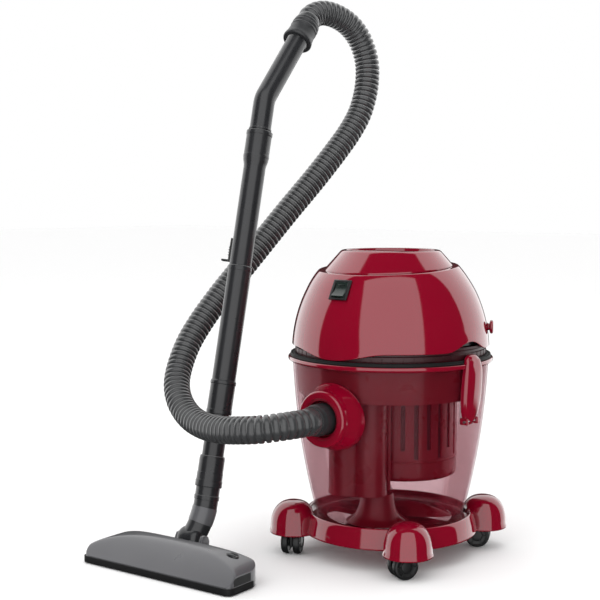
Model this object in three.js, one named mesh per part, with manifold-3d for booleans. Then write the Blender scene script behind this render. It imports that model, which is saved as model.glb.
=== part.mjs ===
// A shop vacuum: a four-caster dolly, a clear tank, a motor head, and a hose with a wand and a floor nozzle.
// Millimetres, +Z up. The machine is modelled about its own axis with its front, inlet and switch at -Y.
// The whole group is then shifted so that its origin is the middle of the footprint, at floor level.
import * as THREE from "three";
import { mergeVertices } from "three/addons/utils/BufferGeometryUtils.js";
import Module from "manifold-3d";

const wasm = await Module();
wasm.setup();

// ---------------------------------------------------------------- driving dimensions

const gap = 0.3; // between neighbours that rest on or plug into each other
const snug = 0.7; // round a tube in a socket whose flats need not line up with its own
const wide = 36; // sides of the large round shells
const round = 16; // sides of tubes and collars
const small = 12; // sides of pins, bushes and wheels

const tank = {
  wall: 3,
  floorZ: 56.6,
  footRadius: 112,
  topZ: 296,
  topRadius: 150.2,
  lowBulge: [127, 105],
  highBulge: [145, 190],
  lipRadius: 157,
  lipThickness: 6.5,
  lipZ: 299.5,
};

const seal = { height: 5.2, reach: 0.5 };

const head = {
  wall: 3,
  edgeZ: 324,
  edgeRadius: 151.6,
  shoulderZ: 442,
  shoulderRadius: 107,
  lowBulge: [148, 385],
  highBulge: [122, 425],
  frontDip: 12,
  frontDipHalfAngle: 34,
  latchArch: 14,
  latchArchHalfAngle: 19,
  warpHeight: 30,
  roofOpening: 62,
};

const cap = { height: 26, baseRadius: 97.7, topRadius: 76, wall: 3, recess: 14, rim: 8, gripWidth: 26 };

const dolly = {
  outerRadius: 131,
  innerRadius: 123,
  bottomZ: 38,
  topZ: 67,
  ledgeThickness: 4,
  ledgeReach: 26,
  spokeWidth: 34,
  casterRadius: 150,
  lobeRadius: 36,
  lobeTopZ: 84,
  lobeBottomZ: 32,
  socketFloorZ: 60,
};

const caster = {
  wheelRadius: 19.5,
  wheelWidth: 11,
  webWidth: 6,
  sideGap: 1,
  axleRadius: 2.5,
  trail: 8,
  stemRadius: 5,
  stemTopZ: 76,
  plateRadius: 13,
  plateBottomZ: 42,
  plateThickness: 4,
};
// Name, side (+1 is +X), end (+1 is +Y), and the way each caster happens to be turned.
const casters = [
  ["front_right", 1, -1, 150],
  ["front_left", -1, -1, 205],
  ["rear_right", 1, 1, 115],
  ["rear_left", -1, 1, 160],
];

const inlet = {
  axisZ: 229,
  bore: 23.8,
  sleeveWall: 4.2,
  mouth: 176,
  mouthRadius: 39,
  baseRadius: 47,
  recessRadius: 27.2,
  recessDepth: 10,
  innerEnd: 118,
};

const duct = { halfWidth: 46, back: 56, front: 130, bottomZ: 105, topZ: 256, wall: 2.5 };

const basket = {
  wall: 2.5,
  rimRadius: 146.4,
  rimTopZ: 330,
  rimBottomZ: 312.1,
  skirtBottomZ: 246,
  clearance: 2.4,
  webZ: 260,
  cupRadius: 85,
  cupBack: 35,
  cupBottomZ: 118,
  slots: 12,
  slotWidth: 7,
  slotLowZ: 152,
  slotHighZ: 238,
};

const motor = {
  plateZ: 331,
  plateThickness: 4,
  plateRadius: 141,
  intakeRadius: 30,
  fanRadius: 58,
  fanHeight: 13,
  fanVanes: 8,
  housingWall: 3,
  housingHeight: 24,
  statorRadius: 42,
  statorBore: 28,
  statorHeight: 42,
  shaftRadius: 4,
  coreRadius: 26,
  bracketRadius: 32,
  bracketHeight: 9,
};

const floatCage = { radius: 38, wall: 2, bottomZ: 228, windows: 6, floatRadius: 28, floatHeight: 50 };
const foam = { thickness: 4, bottomZ: 236 };

const latch = {
  angle: 86, // degrees from the front, to either side
  halfWidth: 19,
  bottomZ: 213,
  topZ: 313,
  pivotZ: 221,
  pivotRadius: 152,
  heelRadius: 6.3,
  outerRadius: 163,
  earThickness: 4,
  pinRadius: 2,
};

const switchBox = { along: 0.62, outer: 32, collar: 27.4, opening: [22.6, 26], depth: 14, bezel: 2.5 };
const peg = { angle: 119, z: 352, stemRadius: 5, headRadius: 10.5, reach: 9, headThickness: 4 };
const gland = { z: 352, radius: 8, flangeRadius: 11, reach: 14, cordRadius: 4 };

const wand = {
  yaw: 2.6,
  lean: 13.5,
  handleLean: 41.5,
  base: [-172.7, -231.6, 100],
  wall: 1.4,
  upperRadius: 17,
  middleRadius: 18,
  lowerRadius: 16.4,
  handleRadius: 16.5,
  socketRadius: 19.5,
  collarStart: 15,
  collarRing: 26,
  collarEnd: 62,
  lowerTop: 215,
  sleeveStart: 125,
  sleeveEnd: 177,
  joint: 353,
  spigot: 32,
  socketStart: 519,
  socketEnd: 566,
  bend: 618,
  bendRadius: 34,
  grip: 127,
};
const clip = { start: 358, length: 36, width: 13, thickness: 3.2, angle: 205, tab: 10 };

const cuff = { length: 44, lipRadius: 24.4, bodyRadius: 21.4, endWall: 4.2 };
const hose = { radius: 20, wall: 2.4, sides: 8, steps: 38, endGap: 1.5 };

const nozzle = {
  centre: [-177.4, -302.7],
  halfWidth: 141.5,
  front: -40,
  back: 35,
  height: 47,
  endHeight: 27,
  wall: 3,
  rimZ: 1,
  backCorner: 30,
  frontCorner: 9,
  soleThickness: 3,
  slotHalfWidth: 104,
  slotDepth: 16,
  slotY: -8,
  brushHalfWidth: 108,
  brushDepth: 5,
  brushY: -27,
  brushHeight: 9,
  bumperHeight: 10,
  bumperThickness: 2.4,
};
const neck = { pivotZ: 40, pivotY: 45.7, knuckleRadius: 19, knuckleHalf: 20, cheek: 6, pinRadius: 3,
  elbowStart: -6, elbowCorner: -34, tipUp: 6, leans: [29, 37, 46] };
const pedal = { x: 104, y: 14, halfLength: 10, halfWidth: 7, bottomZ: 20, rise: 2.6 };

// Points on the hose's centreline, from the cuff at the inlet to the cuff on the handle, in machine axes.
const hoseRoute = [
  [0, -212, 229],
  [-3, -230, 229],
  [-12, -252, 228],
  [-31, -271, 225],
  [-64, -279, 221],
  [-104, -277, 217],
  [-145, -270, 218],
  [-182, -260, 227],
  [-211, -249, 245],
  [-231, -234, 267],
  [-242, -214, 294],
  [-246, -190, 326],
  [-243, -160, 361],
  [-234, -129, 397],
  [-222, -94, 436],
  [-207, -56, 480],
  [-190, -15, 528],
  [-172, 28, 577],
  [-156, 68, 625],
  [-147, 92, 656],
  [-141, 110, 685],
  [-138, 121, 714],
  [-138, 128, 741],
  [-140, 131, 767],
  [-144, 128, 791],
  [-150, 119, 814],
  [-158, 103, 833],
  [-168, 82, 845],
  [-177, 62, 849],
  [-182, 47, 846],
  [-184.5, 35, 839],
];

// ---------------------------------------------------------------- finishes

const finish = (color, roughness, metalness = 0, opacity = 1) =>
  new THREE.MeshStandardMaterial({ color, roughness, metalness, opacity, transparent: opacity < 1 });

const crimson = finish(0x8b0024, 0.12);
const clearPink = finish(0xc89aa2, 0.08, 0, 0.35);
const darkRed = finish(0x6b1a26, 0.45);
const charcoal = finish(0x26272a, 0.35);
const slate = finish(0x4a4a4e, 0.3);
const hoseGrey = finish(0x3f3f42, 0.5);
const black = finish(0x101010, 0.6);
const rubber = finish(0x0b0b0b, 0.85);
const steel = finish(0xb4b6b8, 0.3, 1);
const copperIron = finish(0x7a5a44, 0.5, 0.7);
const foamGrey = finish(0x55565a, 0.95);
const bristle = finish(0x1a1a1c, 0.9);

// ---------------------------------------------------------------- solid-making helpers

const radians = (degrees) => (degrees * Math.PI) / 180;

// One closed surface facing out: shared vertices merged, collapsed triangles dropped.
function closed(geometry) {
  const loose = geometry.index ? geometry.toNonIndexed() : geometry;
  const bare = new THREE.BufferGeometry();
  bare.setAttribute("position", loose.getAttribute("position"));
  const merged = mergeVertices(bare, 1e-4);
  const corners = merged.index.array;
  const at = merged.getAttribute("position");
  const a = new THREE.Vector3();
  const b = new THREE.Vector3();
  const c = new THREE.Vector3();
  const kept = [];
  let volume = 0;
  for (let i = 0; i < corners.length; i += 3) {
    const [p, q, r] = [corners[i], corners[i + 1], corners[i + 2]];
    if (p === q || q === r || r === p) continue;
    kept.push(p, q, r);
    volume += a.fromBufferAttribute(at, p).dot(b.fromBufferAttribute(at, q).cross(c.fromBufferAttribute(at, r)));
  }
  if (volume < 0) kept.reverse();
  merged.setIndex(kept);
  return merged;
}

function toSolid(geometry) {
  const plain = closed(geometry);
  return new wasm.Manifold(
    new wasm.Mesh({
      numProp: 3,
      vertProperties: new Float32Array(plain.getAttribute("position").array),
      triVerts: new Uint32Array(plain.index.array),
    }),
  );
}

function fromSolid(solid) {
  const mesh = solid.getMesh();
  const geometry = new THREE.BufferGeometry();
  geometry.setAttribute("position", new THREE.BufferAttribute(mesh.vertProperties, 3));
  geometry.setIndex(new THREE.BufferAttribute(mesh.triVerts, 1));
  return geometry;
}

const combine = (method) => (first, ...others) =>
  fromSolid(others.reduce((solid, other) => solid[method](toSolid(other)), toSolid(first)));
const join = combine("add");
const cut = combine("subtract");
const overlap = combine("intersect");

// A profile of [radius, z] points turned about Z. The profile closes on itself or ends on the axis.
function turned(profile, sides = round) {
  const points = profile.map(([r, z]) => new THREE.Vector2(r, z));
  const onAxis = profile[0][0] === 0 && profile[profile.length - 1][0] === 0;
  if (!onAxis) points.push(points[0].clone());
  return closed(new THREE.LatheGeometry(points, sides).rotateX(Math.PI / 2));
}

const rod = (radius, low, high, sides = small) =>
  turned(
    [
      [0, low],
      [radius, low],
      [radius, high],
      [0, high],
    ],
    sides,
  );

const ring = (inner, outer, low, high, sides = round) =>
  turned(
    [
      [inner, low],
      [outer, low],
      [outer, high],
      [inner, high],
    ],
    sides,
  );

const box = (x0, x1, y0, y1, z0, z1) =>
  new THREE.BoxGeometry(x1 - x0, y1 - y0, z1 - z0).translate((x0 + x1) / 2, (y0 + y1) / 2, (z0 + z1) / 2);

// Stands a solid made along Z out along -Y, as the inlet's pieces are.
const facingFront = (geometry) => geometry.rotateX(Math.PI / 2);
const alongX = (geometry) => geometry.rotateY(Math.PI / 2);

// An outline in X and Y raised along Z.
function raised(outline, low, high, curveSegments = 8) {
  const options = { depth: high - low, bevelEnabled: false, curveSegments };
  return new THREE.ExtrudeGeometry(outline, options).translate(0, 0, low);
}

// An outline given in Y and Z, drawn out along X.
function sideways(outline, low, high, curveSegments = 8) {
  return raised(outline, low, high, curveSegments).rotateX(Math.PI / 2).rotateZ(Math.PI / 2);
}

function tube(path, outer, inner, sides, steps) {
  const ringOf = (radius) =>
    Array.from({ length: sides }, (_, i) => {
      const angle = (2 * Math.PI * i) / sides;
      return new THREE.Vector2(radius * Math.cos(angle), radius * Math.sin(angle));
    });
  const shape = new THREE.Shape(ringOf(outer));
  if (inner > 0) shape.holes.push(new THREE.Path(ringOf(inner)));
  return closed(new THREE.ExtrudeGeometry(shape, { extrudePath: path, steps, bevelEnabled: false }));
}

const model = new THREE.Group();
const machine = new THREE.Group();
const wandPlane = new THREE.Group();
const wandLine = new THREE.Group();
const handleEnd = new THREE.Group();
const nozzleFrame = new THREE.Group();
model.add(machine, wandPlane, nozzleFrame);
wandPlane.add(wandLine, handleEnd);

function place(name, geometry, material, group = machine) {
  const mesh = new THREE.Mesh(closed(geometry), material);
  mesh.name = name;
  mesh.geometry.computeVertexNormals();
  group.add(mesh);
  return mesh;
}

// ---------------------------------------------------------------- the tank and what it holds

const flat = ([r, z]) => new THREE.Vector2(r, z);
const tankCurve = new THREE.CubicBezierCurve(
  new THREE.Vector2(tank.footRadius, tank.floorZ),
  flat(tank.lowBulge),
  flat(tank.highBulge),
  new THREE.Vector2(tank.topRadius, tank.topZ),
);
const tankSide = tankCurve.getPoints(6).map((p) => [p.x, p.y]);
const insetSide = (side, inset) => side.map(([r, z]) => [r - inset, z]);

function tankRadiusAt(z) {
  const points = tankCurve.getPoints(60);
  const above = points.findIndex((p) => p.y >= z);
  if (above < 0) return tank.topRadius;
  if (above === 0) return tank.footRadius;
  const [low, high] = [points[above - 1], points[above]];
  return low.x + ((high.x - low.x) * (z - low.y)) / (high.y - low.y);
}

// The tank's outer shape as a plain solid, grown by some clearance, for cutting its neighbours.
function tankBody(grow, bottomZ = tank.floorZ - grow) {
  const side = insetSide(tankSide.slice(1), -grow);
  return turned(
    [
      [0, bottomZ],
      [tank.footRadius + grow, bottomZ],
      ...side,
      [tank.topRadius + grow, tank.lipZ + tank.lipThickness],
      [0, tank.lipZ + tank.lipThickness],
    ],
    wide,
  );
}

const tankInnerTop = tank.topRadius - tank.wall;
const tankFloorTop = tank.floorZ + tank.wall;
const rimZ = tank.lipZ + tank.lipThickness;

const onSide = (geometry, degrees) => geometry.rotateZ(radians(degrees));
const latchSides = [
  ["right", latch.angle],
  ["left", -latch.angle],
];
// A latch is made pointing along -Y, and then turned to its side.
const latchPocket = () =>
  box(-latch.halfWidth - 1.5, latch.halfWidth + 1.5, -200, -tank.topRadius - 0.5, latch.bottomZ + 60, rimZ + 20);

function latchEars() {
  const half = earInside();
  const reach = latch.pivotRadius + 4;
  const root = tankRadiusAt(latch.pivotZ) - 1;
  const [low, high] = [latch.pivotZ - earHeight / 2, latch.pivotZ + earHeight / 2];
  const ear = (x0, x1) => box(x0, x1, -reach, -root, low, high);
  const pair = [ear(half, half + latch.earThickness), ear(-half - latch.earThickness, -half)];
  const bore = alongX(rod(latch.pinRadius + gap, -60, 60)).translate(0, -latch.pivotRadius, latch.pivotZ);
  return pair.map((one) => cut(one, bore));
}

const earHeight = 10;
// Where the ears stand: clear of the latch's oval outline at the height of their tops.
function earInside() {
  const middle = (latch.bottomZ + latch.topZ) / 2;
  const reach = (latch.topZ - latch.bottomZ) / 2;
  const z = latch.pivotZ + earHeight / 2;
  return latch.halfWidth * Math.sqrt(1 - ((z - middle) / reach) ** 2) + 1;
}

function makeTank() {
  const shell = turned(
    [
      [0, tank.floorZ],
      ...tankSide,
      [tank.topRadius, tank.lipZ],
      [tank.lipRadius, tank.lipZ],
      [tank.lipRadius, rimZ],
      [tankInnerTop, rimZ],
      ...insetSide(tankSide.slice(1), tank.wall).reverse(),
      [tank.footRadius - tank.wall, tankFloorTop],
      [0, tankFloorTop],
    ],
    wide,
  );
  const port = facingFront(rod(inlet.bore + inlet.sleeveWall + 0.5, 80, 200, round)).translate(0, 0, inlet.axisZ);
  const pockets = latchSides.map(([, angle]) => onSide(latchPocket(), angle));
  const ears = latchSides.flatMap(([, angle]) => latchEars().map((ear) => onSide(ear, angle)));
  return cut(join(shell, ...ears), port, ...pockets);
}
place("tank_shell", makeTank(), clearPink);

const sealTop = rimZ + gap + seal.height;
const tankSeal = ring(tankInnerTop - 2, tank.lipRadius - seal.reach, rimZ + gap, sealTop, wide);
place("tank_seal", cut(tankSeal, ...latchSides.map(([, angle]) => onSide(latchPocket(), angle))), rubber);

function makeCollar() {
  const flare = facingFront(
    turned([
      [inlet.bore + 1, 90],
      [inlet.baseRadius, 90],
      [inlet.baseRadius, 148],
      [(inlet.baseRadius + inlet.mouthRadius) / 2 - 0.5, 158],
      [inlet.mouthRadius, inlet.mouth - 4],
      [inlet.mouthRadius - 2, inlet.mouth - 0.8],
      [inlet.mouthRadius - 5, inlet.mouth],
      [inlet.recessRadius, inlet.mouth],
      [inlet.recessRadius, inlet.mouth - inlet.recessDepth],
      [inlet.bore + 1, inlet.mouth - inlet.recessDepth],
    ]),
  ).translate(0, 0, inlet.axisZ);
  const sleeve = facingFront(
    ring(inlet.bore, inlet.bore + inlet.sleeveWall, inlet.innerEnd, inlet.mouth - inlet.recessDepth),
  ).translate(0, 0, inlet.axisZ);
  return join(cut(flare, tankBody(0.4)), sleeve);
}
place("inlet_collar", makeCollar(), crimson);

function makeDuct() {
  const outside = box(-duct.halfWidth, duct.halfWidth, -duct.front, -duct.back, duct.bottomZ, duct.topZ);
  const w = duct.wall;
  const inside = box(
    -duct.halfWidth + w,
    duct.halfWidth - w,
    -duct.front + w,
    -duct.back - w,
    duct.bottomZ - 1,
    duct.topZ - w,
  );
  const port = facingFront(rod(inlet.bore + inlet.sleeveWall + 0.6, 100, 150, round)).translate(0, 0, inlet.axisZ);
  return cut(overlap(outside, tankBody(-tank.wall - 1)), inside, port);
}
place("inlet_duct", makeDuct(), darkRed);

function makeBasket() {
  const w = basket.wall;
  const skirtTop = tankInnerTop - basket.clearance;
  const skirtLow = tankRadiusAt(basket.skirtBottomZ) - tank.wall - basket.clearance;
  const body = turned(
    [
      [0, basket.webZ],
      [skirtLow - w, basket.webZ],
      [skirtLow - w, basket.skirtBottomZ],
      [skirtLow, basket.skirtBottomZ],
      [skirtTop, tank.topZ],
      [skirtTop, basket.rimBottomZ],
      [basket.rimRadius, basket.rimBottomZ],
      [basket.rimRadius, basket.rimTopZ],
      [basket.rimRadius - w, basket.rimTopZ],
      [basket.rimRadius - w, basket.rimBottomZ + 4],
      [skirtTop - w, basket.rimBottomZ],
      [skirtTop - w, tank.topZ],
      [skirtLow - w + 0.2, basket.webZ + w],
      [0, basket.webZ + w],
    ],
    wide,
  );
  const cup = turned(
    [
      [0, basket.cupBottomZ],
      [basket.cupRadius - 6, basket.cupBottomZ],
      [basket.cupRadius, basket.cupBottomZ + 6],
      [basket.cupRadius, basket.webZ + w],
      [basket.cupRadius - w, basket.webZ + w],
      [basket.cupRadius - w, basket.cupBottomZ + 7],
      [basket.cupRadius - w - 5, basket.cupBottomZ + w],
      [0, basket.cupBottomZ + w],
    ],
    24,
  ).translate(0, basket.cupBack, 0);
  const mouth = rod(basket.cupRadius - w / 2, basket.webZ - 1, basket.webZ + w + 1, 24);
  mouth.translate(0, basket.cupBack, 0);
  const slots = Array.from({ length: basket.slots }, (_, i) => {
    const half = basket.slotWidth / 2;
    const slot = box(-half, half, -basket.cupRadius - 2, -basket.cupRadius + 6, basket.slotLowZ, basket.slotHighZ);
    return slot.rotateZ((2 * Math.PI * (i + 0.5)) / basket.slots).translate(0, basket.cupBack, 0);
  });
  const portHalf = inlet.bore + inlet.sleeveWall + 3;
  const notchTop = inlet.axisZ + inlet.bore + inlet.sleeveWall + 2;
  const notch = box(-portHalf, portHalf, -tank.topRadius, -inlet.innerEnd + 8, basket.skirtBottomZ - 1, notchTop);
  return cut(join(cut(body, mouth), cup), notch, ...slots);
}
place("filter_basket", makeBasket(), darkRed);

// ---------------------------------------------------------------- the motor and fan in the head

const plateTop = motor.plateZ + motor.plateThickness;
place("motor_plate", ring(motor.intakeRadius, motor.plateRadius, motor.plateZ, plateTop, wide), charcoal);

const housingZ = plateTop + gap;
const housingTop = housingZ + motor.housingHeight;
const housingRadius = motor.fanRadius + 5;
function makeFanHousing() {
  const w = motor.housingWall;
  const shell = turned([
    [motor.intakeRadius, housingZ],
    [housingRadius + w, housingZ],
    [housingRadius + w, housingTop],
    [motor.shaftRadius + 5, housingTop],
    [motor.shaftRadius + 5, housingTop - w],
    [housingRadius, housingTop - w],
    [housingRadius, housingZ + w],
    [motor.intakeRadius, housingZ + w],
  ]);
  return cut(shell, box(-22, 22, housingRadius - 10, housingRadius + 10, housingZ + w + 1, housingTop - w - 1));
}
place("fan_housing", makeFanHousing(), slate);

const fanZ = housingZ + motor.housingWall + 1.5;
function makeFan() {
  const plateHeight = 2;
  const bore = motor.shaftRadius + gap;
  const disc = ring(bore, motor.fanRadius, fanZ + motor.fanHeight - plateHeight, fanZ + motor.fanHeight);
  const hub = ring(bore, motor.shaftRadius + 7, fanZ, fanZ + motor.fanHeight);
  const vanes = Array.from({ length: motor.fanVanes }, (_, i) => {
    const vane = box(motor.shaftRadius + 5, motor.fanRadius - 2, -0.9, 0.9, fanZ, fanZ + motor.fanHeight - 1);
    return vane.rotateZ((2 * Math.PI * i) / motor.fanVanes);
  });
  return join(disc, hub, ...vanes);
}
place("fan", makeFan(), steel);

const statorZ = housingTop + gap;
const statorTop = statorZ + motor.statorHeight;
place("motor_stator", ring(motor.statorBore, motor.statorRadius, statorZ, statorTop), copperIron);

const bracketZ = statorTop + gap;
const shaftTop = bracketZ + motor.bracketHeight + 4;
place(
  "motor_armature",
  turned([
    [0, fanZ],
    [motor.shaftRadius, fanZ],
    [motor.shaftRadius, statorZ + 3],
    [motor.coreRadius, statorZ + 3],
    [motor.coreRadius, statorTop - 3],
    [motor.shaftRadius, statorTop - 3],
    [motor.shaftRadius, shaftTop],
    [0, shaftTop],
  ]),
  steel,
);
place(
  "motor_bearing_bracket",
  ring(motor.shaftRadius + gap, motor.bracketRadius, bracketZ, bracketZ + motor.bracketHeight),
  black,
);

const cageTop = motor.plateZ - gap;
function makeCage() {
  const { radius, wall, bottomZ } = floatCage;
  const shell = turned([
    [0, bottomZ],
    [radius, bottomZ],
    [radius, cageTop],
    [radius - wall, cageTop],
    [radius - wall, bottomZ + wall],
    [0, bottomZ + wall],
  ]);
  const windows = Array.from({ length: floatCage.windows }, (_, i) => {
    const opening = box(-11, 11, -radius - 2, -radius + 5, bottomZ + 12, cageTop - 14);
    return opening.rotateZ((2 * Math.PI * i) / floatCage.windows);
  });
  return cut(shell, ...windows);
}
place("float_cage", makeCage(), black);

const floatZ = floatCage.bottomZ + floatCage.wall + gap;
place(
  "float",
  turned([
    [0, floatZ],
    [floatCage.floatRadius - 6, floatZ],
    [floatCage.floatRadius, floatZ + 7],
    [floatCage.floatRadius, floatZ + floatCage.floatHeight - 12],
    [floatCage.floatRadius - 12, floatZ + floatCage.floatHeight],
    [0, floatZ + floatCage.floatHeight],
  ]),
  finish(0xe8e4da, 0.5),
);
place(
  "foam_filter",
  ring(floatCage.radius + 0.5, floatCage.radius + 0.5 + foam.thickness, foam.bottomZ, cageTop - 1),
  foamGrey,
);

// ---------------------------------------------------------------- the head

const domeCurve = new THREE.CubicBezierCurve(
  new THREE.Vector2(head.edgeRadius, head.edgeZ),
  flat(head.lowBulge),
  flat(head.highBulge),
  new THREE.Vector2(head.shoulderRadius, head.shoulderZ),
);
const domeSide = domeCurve.getPoints(6).map((p) => [p.x, p.y]);

function domeRadiusAt(z) {
  const points = domeCurve.getPoints(60);
  const above = points.findIndex((p) => p.y >= z);
  const [low, high] = [points[above - 1], points[above]];
  return low.x + ((high.x - low.x) * (z - low.y)) / (high.y - low.y);
}

// How far the head's lower edge drops or rises, at an angle in degrees from the front.
function edgeShift(degrees) {
  const bump = (centre, half) => {
    const away = Math.abs(degrees - centre) / half;
    return away < 1 ? Math.cos((away * Math.PI) / 2) ** 2 : 0;
  };
  const arch = bump(latch.angle, head.latchArchHalfAngle) + bump(-latch.angle, head.latchArchHalfAngle);
  return head.latchArch * arch - head.frontDip * bump(0, head.frontDipHalfAngle);
}

function warpEdge(geometry) {
  const at = geometry.getAttribute("position");
  const top = head.edgeZ + head.warpHeight;
  for (let i = 0; i < at.count; i++) {
    const degrees = THREE.MathUtils.radToDeg(Math.atan2(at.getX(i), -at.getY(i)));
    const share = Math.max(0, (top - at.getZ(i)) / head.warpHeight);
    at.setZ(i, at.getZ(i) + edgeShift(degrees) * share);
  }
  return geometry;
}

const roofZ = head.shoulderZ;
const capZ = roofZ + gap;
const switchPoint = domeCurve.getPoint(switchBox.along);
const switchSlope = domeCurve.getTangent(switchBox.along);
const switchGroup = new THREE.Group();
switchGroup.position.set(0, -switchPoint.x, switchPoint.y);
switchGroup.rotation.x = Math.atan2(switchSlope.y, -switchSlope.x);
machine.add(switchGroup);
switchGroup.updateMatrix();

const pegSides = [
  ["right", peg.angle],
  ["left", -peg.angle],
];

function makeHead() {
  const shell = turned(
    [
      [head.roofOpening, roofZ],
      [head.roofOpening, roofZ - head.wall],
      [head.shoulderRadius - head.wall, roofZ - head.wall],
      ...insetSide(domeSide.slice(0, -1), head.wall).reverse(),
      ...domeSide,
    ],
    wide,
  );
  const half = switchBox.collar / 2 + gap;
  const switchHole = box(-half, half, -half, half, -25, 25).applyMatrix4(switchGroup.matrix);
  const pegHoles = pegSides.map(([, angle]) =>
    onSide(facingFront(rod(peg.stemRadius + gap, 120, 170)).translate(0, 0, peg.z), angle),
  );
  const cordHole = facingFront(rod(gland.radius + gap, -170, -120)).translate(0, 0, gland.z);
  return cut(warpEdge(shell), switchHole, ...pegHoles, cordHole);
}
place("head_shell", makeHead(), crimson);

function makeCap() {
  const top = capZ + cap.height;
  const w = cap.wall;
  const floor = top - cap.recess;
  const shell = turned(
    [
      [0, floor - w],
      [cap.topRadius - cap.rim - 2, floor - w],
      [cap.topRadius - w - 3, top - w - 1],
      [cap.baseRadius - w, capZ],
      [cap.baseRadius, capZ],
      [cap.topRadius + 1.2, top - 1.6],
      [cap.topRadius - 1.2, top],
      [cap.topRadius - cap.rim + 1, top],
      [cap.topRadius - cap.rim - 2, floor],
      [0, floor],
    ],
    wide,
  );
  const half = cap.gripWidth / 2;
  const reach = cap.topRadius - cap.rim;
  const bar = box(-reach, reach, -half, half, floor - w / 2, top - 2);
  return join(shell, bar);
}
place("top_cap", makeCap(), crimson);

function makePeg() {
  const outer = domeRadiusAt(peg.z);
  return facingFront(
    turned(
      [
        [0, outer - 6],
        [peg.stemRadius, outer - 6],
        [peg.stemRadius, outer + peg.reach - peg.headThickness],
        [peg.headRadius, outer + peg.reach - peg.headThickness],
        [peg.headRadius, outer + peg.reach - 1.5],
        [peg.headRadius - 2, outer + peg.reach],
        [0, outer + peg.reach],
      ],
      small,
    ),
  ).translate(0, 0, peg.z);
}
for (const [side, angle] of pegSides) place("cord_peg_" + side, onSide(makePeg(), angle), crimson);

function makeGland() {
  const outer = domeRadiusAt(gland.z);
  return turned(
    [
      [gland.cordRadius, outer - 8],
      [gland.radius, outer - 8],
      [gland.radius, outer + 2],
      [gland.flangeRadius, outer + 2],
      [gland.flangeRadius, outer + 4],
      [gland.radius - 1, outer + 5],
      [gland.radius - 2.5, outer + gland.reach],
      [gland.cordRadius, outer + gland.reach],
    ],
    small,
  )
    .rotateX(-Math.PI / 2)
    .translate(0, 0, gland.z);
}
place("cord_gland", makeGland(), rubber);

function makeSwitchFrame() {
  const outer = switchBox.outer / 2;
  const inner = switchBox.collar / 2;
  const [openX, openY] = switchBox.opening.map((size) => size / 2);
  const bezel = box(-outer, outer, -outer, outer, 1.2, 1.2 + switchBox.bezel);
  const collar = box(-inner, inner, -inner, inner, -switchBox.depth, 1.5);
  return cut(join(bezel, collar), box(-openX, openX, -openY, openY, -switchBox.depth + 2, 20));
}
place("switch_frame", makeSwitchFrame(), black, switchGroup);

const rockerTilt = 7;
function makeRocker() {
  const [openX, openY] = switchBox.opening.map((size) => size / 2);
  const reach = openY - 1;
  const side = new THREE.Shape();
  side.moveTo(-reach, -3);
  side.lineTo(reach, -3);
  side.lineTo(reach, 5.5);
  side.quadraticCurveTo(reach * 0.4, 2.4, 0, 2.4);
  side.quadraticCurveTo(-reach * 0.4, 2.4, -reach, 5.5);
  side.closePath();
  return sideways(side, -openX + 0.4, openX - 0.4, 4).rotateX(radians(-rockerTilt));
}
place("rocker_switch", makeRocker(), charcoal, switchGroup);

// ---------------------------------------------------------------- latches

function makeLatch() {
  const middle = (latch.bottomZ + latch.topZ) / 2;
  const reach = (latch.topZ - latch.bottomZ) / 2;
  const oval = new THREE.Shape().absellipse(0, middle, latch.halfWidth, reach, 0, 2 * Math.PI);
  const face = facingFront(raised(oval, 140, 175, 14));
  const wallTop = tank.topRadius + 1;
  const heel = latch.pivotRadius - latch.heelRadius;
  const side = new THREE.Shape();
  side.moveTo(-heel, latch.pivotZ);
  side.absarc(-latch.pivotRadius, latch.pivotZ, latch.heelRadius, 0, -Math.PI / 2, true);
  side.lineTo(-latch.pivotRadius - 4, latch.pivotZ - latch.heelRadius);
  side.quadraticCurveTo(-latch.outerRadius, 240, -latch.outerRadius, 264);
  side.quadraticCurveTo(-latch.outerRadius, 300, -wallTop - 4, latch.topZ + 1);
  side.lineTo(-wallTop + 1.6, latch.topZ + 1);
  side.lineTo(-wallTop + 1.6, sealTop + gap);
  side.lineTo(-wallTop, sealTop + gap);
  side.lineTo(-wallTop, rimZ - 8);
  side.closePath();
  const profile = sideways(side, -30, 30, 6);
  const bore = alongX(rod(latch.pinRadius + gap, -60, 60)).translate(0, -latch.pivotRadius, latch.pivotZ);
  return cut(overlap(face, profile), bore);
}
for (const [side, angle] of latchSides) {
  const half = earInside() + latch.earThickness;
  const pin = alongX(rod(latch.pinRadius, -half, half)).translate(0, -latch.pivotRadius, latch.pivotZ);
  place("latch_" + side, onSide(makeLatch(), angle), crimson);
  place("latch_pin_" + side, onSide(pin, angle), steel);
}

// ---------------------------------------------------------------- the dolly and its casters

const casterReach = dolly.casterRadius / Math.SQRT2;
const socketRadius = caster.stemRadius + gap;

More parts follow.
